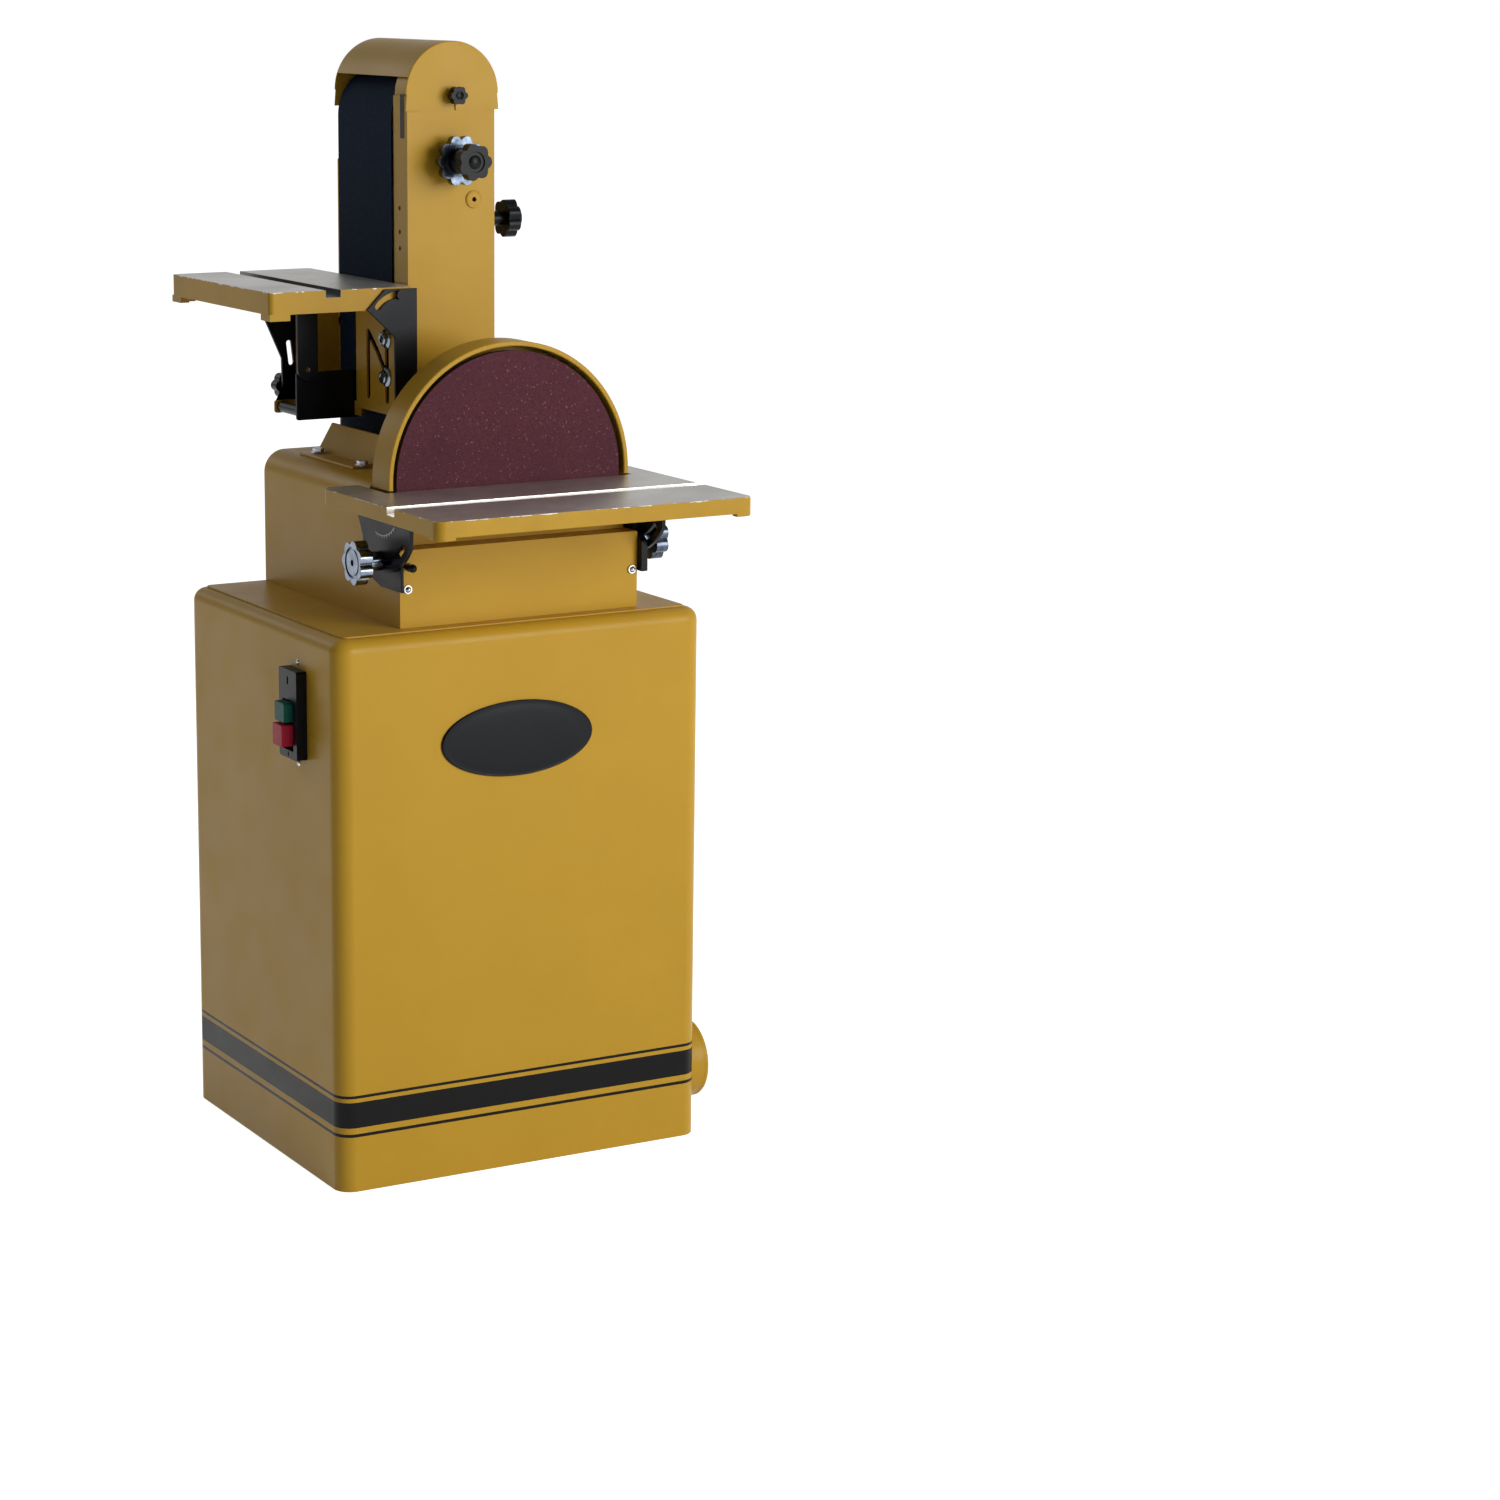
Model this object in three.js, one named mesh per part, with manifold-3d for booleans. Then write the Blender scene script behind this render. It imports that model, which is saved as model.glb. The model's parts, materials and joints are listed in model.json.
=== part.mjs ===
// Belt and disc sander on a sheet-metal cabinet, in millimetres, +Z up.
// Origin: centre of the cabinet's foot, on the floor. The disc faces -Y and the belt faces -X.
import * as THREE from "three";
import { mergeVertices } from "three/addons/utils/BufferGeometryUtils.js";
import Module from "manifold-3d";

const wasm = await Module();
wasm.setup();

// ---- driving dimensions -------------------------------------------------------------------
const gap = 0.3; // clearance between neighbouring pieces
const runGap = 0.5; // clearance between pieces that slide or swing past each other

const cabinet = { width: 501, depth: 443.5, height: 680, wall: 3, corner: 22, roll: 16.6 };
const basePlate = { thickness: 2, corner: 8 };
const deck = cabinet.height + basePlate.thickness; // top of the base plate

const housing = { left: -149, right: 176, front: -183, back: 206, top: 850, step: -92, low: 776, sideLow: 778, wall: 3 };
const panel = { thickness: 3 };
const plunger = { x: -141, z: 757 };
const columnBay = { left: -52, front: -5 }; // opening in the housing's top for the column

const spindle = { x: 16, z: 850, radius: 12.5, front: -139, back: 216 };
const bearing = { radius: 26, width: 15 };
const disc = { radius: 152.4, face: -153, paper: 1.2, plate: 12, hub: 32 };
const guard = { outer: 164, inner: 158, front: -156, back: -109, plate: 5 };

const belt = { drum: 60, thickness: 1.5, front: 41, back: 193, centres: 420 };
const column = { left: -44, right: 76, front: 0, depth: 38, wall: 3, rear: 196, rearWall: 4, topCentre: 1300, topRadius: 58 };
const cap = { radius: 63.5, sheet: 1.5, centreX: 17, centreZ: 1302, bottom: 1282, leftEdge: 1323 };

const beltTable = { left: -240, right: -48, front: -22, back: 281, top: 1072, plate: 13, apron: 27, lip: 34.5, lipWidth: 27 };
const beltSlot = { from: -165.6, to: -145.8, depth: 9 };
const tilt = { x: -69, z: 1026.5, arcRadius: 36.5, arcFrom: 87, arcTo: 141 };

const discTable = { left: -201, right: 218, front: -389, back: -81, top: 842, plate: 13, apron: 19.5, lip: 23, lipWidth: 24 };
const discSlot = { from: -277, width: 19, depth: 9 };
const trunnion = { y: -155, stud: 82, slot: 9, plate: 5, tiltMax: 45 };

const motor = { radius: 85, front: -8, back: 190, shelf: 330, shelfThickness: 4, foot: 10, shaft: 12 };
const pulley = { motorRadius: 45, spindleRadius: 55, centreY: -47.5, width: 22, beltDepth: 9 };

// ---- finishes -------------------------------------------------------------------------------
const finish = {
  enamel: new THREE.MeshStandardMaterial({ color: "#c6a243", roughness: 0.38, metalness: 0 }),
  blackPaint: new THREE.MeshStandardMaterial({ color: "#14161b", roughness: 0.45, metalness: 0 }),
  groundIron: new THREE.MeshStandardMaterial({ color: "#a9a7a3", roughness: 0.35, metalness: 0.9 }),
  steel: new THREE.MeshStandardMaterial({ color: "#9a9c9f", roughness: 0.4, metalness: 1 }),
  zinc: new THREE.MeshStandardMaterial({ color: "#c3c8cd", roughness: 0.3, metalness: 1 }),
  chrome: new THREE.MeshStandardMaterial({ color: "#dfe2e6", roughness: 0.12, metalness: 1 }),
  castIron: new THREE.MeshStandardMaterial({ color: "#4a4c4f", roughness: 0.6, metalness: 0.6 }),
  paper: new THREE.MeshStandardMaterial({ color: "#52303a", roughness: 0.95, metalness: 0 }),
  beltCloth: new THREE.MeshStandardMaterial({ color: "#0b1a30", roughness: 0.9, metalness: 0 }),
  rubber: new THREE.MeshStandardMaterial({ color: "#1b1b1c", roughness: 0.8, metalness: 0 }),
  plastic: new THREE.MeshStandardMaterial({ color: "#101114", roughness: 0.4, metalness: 0 }),
  green: new THREE.MeshStandardMaterial({ color: "#0d6b3f", roughness: 0.4, metalness: 0 }),
  red: new THREE.MeshStandardMaterial({ color: "#c4202e", roughness: 0.4, metalness: 0 }),
  motorPaint: new THREE.MeshStandardMaterial({ color: "#2d3136", roughness: 0.5, metalness: 0.1 }),
};

// ---- shape helpers --------------------------------------------------------------------------
function toSolid(geometry) {
  geometry.deleteAttribute("normal");
  geometry.deleteAttribute("uv");
  const merged = mergeVertices(geometry, 1e-4);
  const mesh = new wasm.Mesh({
    numProp: 3,
    vertProperties: new Float32Array(merged.attributes.position.array),
    triVerts: new Uint32Array(merged.index.array),
  });
  return new wasm.Manifold(mesh);
}

// The frame that turns a flat outline into a solid along each axis, outline axes kept upright.
const along = {
  x: new THREE.Matrix4().makeBasis(
    new THREE.Vector3(0, 1, 0), new THREE.Vector3(0, 0, 1), new THREE.Vector3(1, 0, 0)),
  y: new THREE.Matrix4().makeBasis(
    new THREE.Vector3(1, 0, 0), new THREE.Vector3(0, 0, 1), new THREE.Vector3(0, -1, 0)),
  z: new THREE.Matrix4(),
};

// Extrudes an outline from one station to another along an axis: (y, z) for x, (x, z) for y, (x, y) for z.
function prism(shape, axis, from, to, curveSegments = 12) {
  const geometry = new THREE.ExtrudeGeometry(shape, { depth: to - from, bevelEnabled: false, curveSegments });
  geometry.applyMatrix4(along[axis]);
  const shift = { x: [from, 0, 0], y: [0, to, 0], z: [0, 0, from] }[axis];
  return toSolid(geometry.translate(...shift));
}

function box(x0, x1, y0, y1, z0, z1) {
  const geometry = new THREE.BoxGeometry(x1 - x0, y1 - y0, z1 - z0);
  return toSolid(geometry.translate((x0 + x1) / 2, (y0 + y1) / 2, (z0 + z1) / 2));
}

function outline(points) {
  return new THREE.Shape(points.map(([u, v]) => new THREE.Vector2(u, v)));
}

function circle(u, v, radius) {
  const shape = new THREE.Shape();
  shape.absarc(u, v, radius, 0, Math.PI * 2);
  return shape;
}

function rounded(u0, u1, v0, v1, r) {
  const shape = new THREE.Shape();
  shape.moveTo(u0 + r, v0);
  shape.lineTo(u1 - r, v0);
  shape.absarc(u1 - r, v0 + r, r, -Math.PI / 2, 0);
  shape.lineTo(u1, v1 - r);
  shape.absarc(u1 - r, v1 - r, r, 0, Math.PI / 2);
  shape.lineTo(u0 + r, v1);
  shape.absarc(u0 + r, v1 - r, r, Math.PI / 2, Math.PI);
  shape.lineTo(u0, v0 + r);
  shape.absarc(u0 + r, v0 + r, r, Math.PI, Math.PI * 1.5);
  return shape;
}

// Round bar along an axis, centred at (u, v) of that axis's outline plane.
function rod(axis, u, v, radius, from, to, segments = 6) {
  return prism(circle(u, v, radius), axis, from, to, segments);
}

function tube(axis, u, v, outer, inner, from, to, segments = 6) {
  const shape = circle(u, v, outer);
  const hole = new THREE.Path();
  hole.absarc(u, v, inner, 0, Math.PI * 2, true);
  shape.holes.push(hole);
  return prism(shape, axis, from, to, segments);
}

// Slot with round ends between two points.
function slot(axis, a, b, width, from, to) {
  const angle = Math.atan2(b[1] - a[1], b[0] - a[0]);
  const shape = new THREE.Shape();
  shape.absarc(b[0], b[1], width / 2, angle - Math.PI / 2, angle + Math.PI / 2);
  shape.absarc(a[0], a[1], width / 2, angle + Math.PI / 2, angle + Math.PI * 1.5);
  return prism(shape, axis, from, to, 3);
}

// Curved slot about a centre, between two angles in degrees.
function arcSlot(axis, centre, radius, degrees0, degrees1, width, from, to) {
  const a0 = THREE.MathUtils.degToRad(degrees0);
  const a1 = THREE.MathUtils.degToRad(degrees1);
  const end = (angle) => [centre[0] + radius * Math.cos(angle), centre[1] + radius * Math.sin(angle)];
  const shape = new THREE.Shape();
  shape.absarc(centre[0], centre[1], radius + width / 2, a0, a1);
  shape.absarc(...end(a1), width / 2, a1, a1 + Math.PI);
  shape.absarc(centre[0], centre[1], radius - width / 2, a1, a0, true);
  shape.absarc(...end(a0), width / 2, a0 + Math.PI, a0 + 2 * Math.PI);
  return prism(shape, axis, from, to, 8);
}

// Two equal or unequal circles joined by their outer tangents, as a belt runs; centres stacked in z.
function capsule(x, zLow, rLow, zHigh, rHigh) {
  const lean = Math.asin((rHigh - rLow) / (zHigh - zLow));
  const shape = new THREE.Shape();
  shape.absarc(x, zHigh, rHigh, -lean, Math.PI + lean);
  shape.absarc(x, zLow, rLow, Math.PI + lean, 2 * Math.PI - lean);
  return shape;
}

// Lathe profile of [radius, height] pairs turned about an axis through (u, v).
function turned(axis, u, v, profile, segments = 48) {
  const geometry = new THREE.LatheGeometry(profile.map(([r, h]) => new THREE.Vector2(r, h)), segments);
  if (axis === "x") geometry.rotateZ(-Math.PI / 2).translate(0, u, v);
  if (axis === "y") geometry.translate(u, 0, v);
  if (axis === "z") geometry.rotateX(Math.PI / 2).translate(u, v, 0);
  return orient(toSolid(geometry));
}

// A profile drawn the other way round gives an inside-out solid, so its faces are turned back.
function orient(solid) {
  if (solid.volume() > 0) return solid;
  const mesh = solid.getMesh();
  const tri = mesh.triVerts;
  for (let i = 0; i < tri.length; i += 3) [tri[i], tri[i + 1]] = [tri[i + 1], tri[i]];
  return new wasm.Manifold(mesh);
}

// Knob outline with round lobes, and a central through hole where one is wanted.
function lobed(u, v, outer, root, count, turn = 0) {
  const points = [];
  const steps = count * 5;
  for (let i = 0; i < steps; i += 1) {
    const angle = (i / steps) * Math.PI * 2;
    const wave = 0.5 + 0.5 * Math.cos(count * angle + turn);
    const radius = root + (outer - root) * Math.sqrt(wave);
    points.push([u + radius * Math.cos(angle), v + radius * Math.sin(angle)]);
  }
  return outline(points);
}

function hex(axis, u, v, flats, from, to) {
  const radius = flats / Math.sqrt(3);
  const corners = [0, 1, 2, 3, 4, 5].map((i) => {
    const angle = (i * Math.PI) / 3;
    return [u + radius * Math.cos(angle), v + radius * Math.sin(angle)];
  });
  return prism(outline(corners), axis, from, to);
}

// Straight-sided funnel between two rectangles [x0, x1, y0, y1] at two heights.
function funnel(low, high, z0, z1) {
  const ring = ([x0, x1, y0, y1], z) => [x0, y0, z, x1, y0, z, x1, y1, z, x0, y1, z];
  const faces = [0, 2, 1, 0, 3, 2, 4, 5, 6, 4, 6, 7];
  for (let i = 0; i < 4; i += 1) {
    const next = (i + 1) % 4;
    faces.push(i, next, next + 4, i, next + 4, i + 4);
  }
  const geometry = new THREE.BufferGeometry();
  geometry.setAttribute("position", new THREE.Float32BufferAttribute([...ring(low, z0), ...ring(high, z1)], 3));
  geometry.setIndex(faces);
  return toSolid(geometry);
}

const join = (first, ...rest) => rest.reduce((sum, piece) => sum.add(piece), first);
const cut = (first, ...rest) => rest.reduce((left, piece) => left.subtract(piece), first);

const sander = new THREE.Group();

function place(name, solid, material) {
  const mesh = solid.getMesh();
  const geometry = new THREE.BufferGeometry();
  geometry.setAttribute("position", new THREE.BufferAttribute(new Float32Array(mesh.vertProperties), 3));
  geometry.setIndex(new THREE.BufferAttribute(new Uint32Array(mesh.triVerts), 1));
  const part = new THREE.Mesh(geometry, material.clone());
  part.name = name;
  sander.add(part);
}

// ---- cabinet ----------------------------------------------------------------------------------
const halfW = cabinet.width / 2;
const halfD = cabinet.depth / 2;
const port = { y: -162, z: 83, outer: 49, inner: 45, lip: 272 };
const hatch = { left: -150, right: 150, bottom: 150, top: 560, overlap: 16, sheet: 2 };
const switchSpot = { y: -113, z: 576.5, width: 50, height: 109, depth: 14, box: 34 };
const deckOpening = { left: -100, right: 140, front: -66, back: -28 };
const chuteMouth = [-138, 166, -178, -104];

// Solid block with rounded upright corners and a rolled top edge.
function rolledBlock(width, depth, corner, roll, z0, z1) {
  const flat = rounded(
    -width / 2 + roll, width / 2 - roll, -depth / 2 + roll, depth / 2 - roll, Math.max(corner - roll, 0.5));
  const geometry = new THREE.ExtrudeGeometry(flat, {
    depth: z1 - z0, bevelEnabled: true, bevelSize: roll, bevelThickness: roll, bevelSegments: 3, curveSegments: 3,
  });
  const block = toSolid(geometry.translate(0, 0, z0));
  return block.intersect(box(-width, width, -depth, depth, z0, z1 + roll));
}

function makeCabinet() {
  const { width, depth, height, wall, corner, roll } = cabinet;
  const outside = rolledBlock(width, depth, corner, roll, 0, height - roll);
  const inside = rolledBlock(width - 2 * wall, depth - 2 * wall, corner - wall, roll - wall, -1, height - roll);
  const shell = cut(
    outside,
    inside,
    box(hatch.left, hatch.right, halfD - 2 * wall, halfD + 1, hatch.bottom, hatch.top),
    box(deckOpening.left, deckOpening.right, deckOpening.front, deckOpening.back, height - 10, height + 1),
    box(...chuteMouth, height - 10, height + 1),
    rod("x", port.y, port.z, port.outer + gap, halfW - corner, halfW + 1, 14),
    box(-halfW - 1, -halfW + 2 * wall, switchSpot.y - 19, switchSpot.y + 19, switchSpot.z - 42, switchSpot.z + 42),
    rod("y", -190, 120, 10 + gap, halfD - 2 * wall, halfD + 1, 8),
  );
  place("cabinet_shell", shell, finish.enamel);

  const margin = wall + gap;
  const floor = prism(
    rounded(-halfW + margin, halfW - margin, -halfD + margin, halfD - margin, corner - wall), "z", 0, wall, 5);
  place("floor_pan", floor, finish.enamel);

  const plate = cut(
    prism(rounded(-halfW + roll, halfW - roll, -halfD + roll, halfD - roll, basePlate.corner), "z", height, deck, 4),
    box(deckOpening.left, deckOpening.right, deckOpening.front, deckOpening.back, height - 1, deck + 1),
    box(...chuteMouth, height - 1, deck + 1),
  );
  place("base_plate", plate, finish.enamel);

  const { overlap, sheet } = hatch;
  const louvres = [0, 1, 2, 3, 4, 5].map((i) =>
    slot("y", [-90, 440 + i * 16], [90, 440 + i * 16], 6, halfD - 1, halfD + sheet + 1));
  const door = cut(
    prism(rounded(hatch.left - overlap, hatch.right + overlap, hatch.bottom - overlap, hatch.top + overlap, 8),
      "y", halfD, halfD + sheet, 4),
    ...louvres,
  );
  place("rear_access_panel", door, finish.enamel);
}

function makeDustWay() {
  const { y, z, outer, inner, lip } = port;
  const reach = halfW - cabinet.wall;
  const spout = join(
    tube("x", y, z, outer, inner, reach - 12, lip - 3, 14),
    tube("x", y, z, outer + 1.2, inner, lip - 5, lip, 14),
  );
  place("dust_port", spout, finish.enamel);

  const duct = { x0: 132, x1: reach - 12 - gap, y0: y - 50, y1: y + 50, z0: 20, z1: 380, sheet: 1.5 };
  const top = cabinet.height - cabinet.wall - gap;
  const grow = (r, s) => [r[0] - s, r[1] + s, r[2] - s, r[3] + s];
  const foot = [duct.x0, duct.x1, duct.y0, duct.y1];
  const mouth = grow(chuteMouth, -2);
  const outside = join(
    box(...foot, duct.z0, duct.z1),
    funnel(foot, mouth, duct.z1 - 0.5, top),
  );
  const hollow = join(
    box(...grow(foot, -duct.sheet), duct.z0 + duct.sheet, duct.z1),
    funnel(grow(foot, -duct.sheet), grow(mouth, -duct.sheet), duct.z1 - 0.6, top + 0.5),
    rod("x", y, z, inner, duct.x1 - 5, duct.x1 + 5, 14),
  );
  place("dust_chute", cut(outside, hollow), finish.steel);
}

function makeSwitch() {
  const { y, z, width, height, depth, box: boxDepth } = switchSpot;
  const outside = -halfW;
  const face = outside - depth;
  const plate = cut(
    prism(rounded(y - width / 2, y + width / 2, z - height / 2, z + height / 2, 3), "x", face, outside, 3),
    box(face - 1, outside + 1, y - 15, y + 15, z - 44.5, z + 17.5),
    slot("x", [y, z + 38], [y, z + 44], 4, face - 1, face + 4),
    slot("x", [y, z - 51], [y, z - 47.5], 3, face - 1, face + 4),
  );
  place("switch_plate", plate, finish.blackPaint);
  const inner = outside + boxDepth;
  const body = cut(
    box(outside + gap, inner, y - 18.5, y + 18.5, z - 41.5, z + 41.5),
    box(outside - 1, inner - 12, y - 14, y + 14, z - 39, z + 18),
  );
  place("switch_box", body, finish.plastic);
  const stem = inner - 12 - 5;
  const button = (name, zMid, tall, proud, material) => {
    place(name, prism(rounded(y - 13.5, y + 13.5, zMid - tall / 2, zMid + tall / 2, 2.5), "x",
      face - proud, stem, 3), material);
  };
  button("start_button", z + 3.6, 24, 11.5, finish.green);
  button("stop_button", z - 24.4, 27, 14.5, finish.red);
}

// ---- motor and drive ---------------------------------------------------------------------------
const motorZ = motor.shelf + motor.shelfThickness + motor.foot + motor.radius + 6;

function makeMotor() {
  const { radius, front, back, shelf, shelfThickness, foot, shaft } = motor;
  const side = halfW - cabinet.wall - gap;
  const top = shelf + shelfThickness;
  const tray = join(
    box(-side, side, -30, back + 6, shelf, top),
    box(-side, side, -30, -26, shelf - 30, shelf + 1),
  );
  place("motor_shelf", tray, finish.blackPaint);

  const fins = [];
  for (let i = 0; i < 12; i += 1) {
    const angle = (i / 12) * Math.PI * 2;
    const u = spindle.x + (radius + 1) * Math.cos(angle);
    const v = motorZ + (radius + 1) * Math.sin(angle);
    fins.push(rod("y", u, v, 3.2, front + 45, back - 45, 2));
  }
  const bore = shaft + gap;
  const body = cut(
    join(
      rod("y", spindle.x, motorZ, radius, front, back, 12),
      ...fins,
      box(spindle.x - 75, spindle.x + 75, front + 40, back - 40, top, top + foot),
      box(spindle.x - 60, spindle.x - 35, front + 45, back - 45, top, motorZ - 50),
      box(spindle.x + 35, spindle.x + 60, front + 45, back - 45, top, motorZ - 50),
      box(spindle.x - 40, spindle.x + 40, front + 60, back - 70, motorZ + radius - 15, motorZ + radius + 32),
    ),
    rod("y", spindle.x, motorZ, bore, front - 1, back - 20, 10),
  );
  place("motor_body", body, finish.motorPaint);
  place("motor_shaft", rod("y", spindle.x, motorZ, shaft, pulley.centreY - 22, back - 25, 10), finish.steel);
}

// Grooved pulley turned about Y, hub bored for its shaft.
function groovedPulley(z, radius, bore) {
  const { centreY, width, beltDepth } = pulley;
  const half = width / 2;
  const floor = radius - beltDepth;
  return turned("y", spindle.x, z, [
    [bore, centreY - half], [radius, centreY - half], [radius, centreY - half + 2.5], [floor, centreY - 4.6],
    [floor, centreY + 4.6], [radius, centreY + half - 2.5], [radius, centreY + half], [bore, centreY + half],
    [bore, centreY - half],
  ], 28);
}

function makeDrive() {
  const { motorRadius, spindleRadius, centreY, beltDepth } = pulley;
  place("motor_pulley", groovedPulley(motorZ, motorRadius, motor.shaft + gap), finish.castIron);
  place("spindle_pulley", groovedPulley(spindle.z, spindleRadius, spindle.radius + gap), finish.castIron);
  const seat = 1;
  const low = motorRadius - beltDepth + seat;
  const high = spindleRadius - beltDepth + seat;
  const thick = 7;
  const loop = (extra, half) =>
    prism(capsule(spindle.x, motorZ, low + extra, spindle.z, high + extra), "y", centreY - half, centreY + half, 10);
  place("drive_belt", cut(loop(thick, 4), loop(0, 5)), finish.rubber);
}

// ---- housing on the cabinet ------------------------------------------------------------------------
const bracketBore = bearing.radius + gap;

function makeHousing() {
  const { left, right, front, back, top, step, low, sideLow, wall } = housing;
  const round = 28;
  const profile = new THREE.Shape();
  profile.moveTo(left, deck);
  profile.lineTo(right, deck);
  profile.lineTo(right, top);
  profile.lineTo(left + round, top);
  profile.absarc(left + round, top - round, round, Math.PI / 2, Math.PI);
  const hollow = new THREE.Shape();
  hollow.moveTo(left + wall, deck - 1);
  hollow.lineTo(right - wall, deck - 1);
  hollow.lineTo(right - wall, top - wall);
  hollow.lineTo(left + round, top - wall);
  hollow.absarc(left + round, top - round, round - wall, Math.PI / 2, Math.PI);
  const ear = spindle.x;
  const body = cut(
    join(
      cut(prism(profile, "y", step, back, 8), prism(hollow, "y", step + wall, back - wall, 8)),
      cut(box(left, right, front, step, deck, low), box(left + wall, right - wall, front - 1, step + wall + 1, deck - 1, low - wall)),
      rod("y", ear, spindle.z, 50, back - wall, back, 12),
    ),
    // the column's bay, open at the top and over the low right-hand wall
    box(columnBay.left, right + 1, columnBay.front, back - wall, sideLow, top + 1),
    // the pulley bay under its cover
    box(columnBay.left, 2 * spindle.x - columnBay.left, step - 1, columnBay.front + 1, 805, top + 1),
    // the disc's lower half hangs into the front box
    box(spindle.x - disc.radius - 2.5, right - wall - 0.5, disc.face - 4, step + 1, low - 10, low + 1),
    box(left + 20, right - 20, front + 20, step + wall + 5, deck + 20, low - 30),
    rod("y", ear, spindle.z, 31, back - wall - 1, back + 1, 12),
  );
  place("pedestal_housing", body, finish.enamel);

  const sheet = cut(
    prism(rounded(left, right, deck, low, 1.5), "y", front - panel.thickness, front, 2),
    rod("y", plunger.x, plunger.z, 2.9 + gap, front - 10, front + 1, 6),
    rod("y", -139, 729, 3.4, front - 10, front + 1, 6),
    rod("y", 168, 729, 3.4, front - 10, front + 1, 6),
  );
  place("front_panel", sheet, finish.enamel);
  const cover = { radius: 68, sheet: 2, front: step + wall, back: columnBay.front - 25 };
  const hood = cut(
    join(
      cut(rod("y", spindle.x, spindle.z, cover.radius, cover.front, cover.back, 14),
        rod("y", spindle.x, spindle.z, cover.radius - cover.sheet, cover.front - 1, cover.back - cover.sheet, 14)),
      box(spindle.x - cover.radius - 12, spindle.x + cover.radius + 12, cover.front, cover.back, top, top + cover.sheet),
    ),
    box(-200, 200, cover.front - 1, cover.back + 1, 700, top),
    box(spindle.x - 62, spindle.x + 62, cover.front - 1, cover.back - cover.sheet, top - 1, top + 15),
    rod("y", spindle.x, spindle.z, 44, cover.back - 5, cover.back + 1, 12),
  );
  place("pulley_cover", hood, finish.enamel);
}

function makeGuards() {
  const { outer, inner, front, back, plate } = guard;
  const { x, z } = spindle;
  const tableGap = 1.5;
  const rimBottom = discTable.top + tableGap;
  const upper = (radius, from, to) =>
    rod("y", x, z, radius, from, to, 24).intersect(box(-400, 400, from, to, rimBottom, 1200));
  const skirt = 130;
  const body = cut(
    join(
      upper(outer, front, back),
      box(x - skirt, x + skirt, back - plate, back, housing.low + gap, rimBottom + 1),
      tube("y", x, z, 58, 46, back - 1, housing.step, 12),
    ),
    rod("y", x, z, inner, front - 1, back - plate, 24),
    rod("y", x, z, 46, back - 10, back + 1, 12),
  );
  place("disc_guard", body, finish.enamel);

  const angle = outline([[-125, 850], [-95, 850], [-86, 890], [-89, 890], [-98, 853], [-125, 853]]);
  const guardFront = -8;
  const lower = cut(
    prism(angle, "y", guardFront, 150),
    prism(outline([[128, 891], [151, 855], [160, 855], [160, 891]]), "x", -100, -80),
    rod("z", -108, 0, 4.3, 840, 860),
    rod("z", -108, 129, 4.3, 840, 860),
  );
  place("lower_belt_guard", lower, finish.enamel);
}

function makeSpindle() {
  const { x, z, radius, front, back } = spindle;
  const frontFace = housing.step + housing.wall;
  const midFront = columnBay.front - 22;
  const standing = (half, from, to) => join(
    box(x - half, x + half, from, to, deck, z),
    rod("y", x, z, 40, from, to, 12),
  );
  const casting = join(
    standing(38, frontFace + gap, frontFace + 15.3),
    standing(38, midFront, midFront + 10),
    box(x - 38, x + 38, frontFace + gap, midFront + 1, deck, deck + 14),
    rod("y", x, z, 32, midFront + 9, column.wall + 8, 12),
  );
  place("spindle_housing", cut(
    casting,
    rod("y", x, z, bracketBore, frontFace - 1, frontFace + 15, 12),
    rod("y", x, z, radius + 3, frontFace, column.wall + 9, 12),
    box(x - 12, x + 12, pulley.centreY - 7, pulley.centreY + 7, deck - 1, deck + 15),
  ), finish.castIron);
  const rearFace = housing.back;
  place("spindle_bracket_rear", cut(
    join(rod("y", x, z, 42, rearFace, rearFace + 6, 12), rod("y", x, z, 30, column.rear - 1, rearFace + 1, 12)),
    rod("y", x, z, bracketBore, column.rear - 2, rearFace + 2, 12),
    rod("y", x, z, radius + 2, rearFace, rearFace + 10, 12)), finish.castIron);

  const ring = (from) => tube("y", x, z, bearing.radius, radius + gap, from, from + bearing.width - 3, 10);
  place("bearing_front", ring(frontFace + gap), finish.steel);
  place("bearing_rear", ring(column.rear), finish.steel);

  place("spindle_shaft", rod("y", x, z, radius, front, back - 2, 10), finish.steel);
  const plateBack = disc.face + disc.paper + disc.plate;
  place("disc_plate", turned("y", x, z, [
    [0, disc.face + disc.paper], [disc.radius - 0.6, disc.face + disc.paper], [disc.radius - 0.6, plateBack],
    [disc.hub, plateBack], [disc.hub, housing.step - 4], [radius + gap, housing.step - 4], [radius + gap, plateBack + 0.5],
    [0, plateBack + 0.5]], 40), finish.castIron);
  place("abrasive_disc", rod("y", x, z, disc.radius, disc.face, disc.face + disc.paper, 18), finish.paper);
}

const beltInner = belt.drum + gap;
const beltOuter = beltInner + belt.thickness;
const idlerZ = spindle.z + belt.centres;

// Crowned drum with a rim, a web and a hub, turned about Y.
function drum(z, bore) {
  const front = belt.front + 4;
  const back = belt.back - 3;
  const middle = (front + back) / 2;
  return turned("y", spindle.x, z, [
    [bore, front + 8], [24, front + 8], [24, middle - 4], [52, middle - 4], [52, front], [belt.drum - 0.8, front],
    [belt.drum, middle], [belt.drum - 0.8, back], [52, back], [52, middle + 4], [24, middle + 4], [24, back - 8],
    [bore, back - 8], [bore, front + 8],
  ], 24);
}

const springSeat = 1122; // top of the ledge that carries the tension spring

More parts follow.
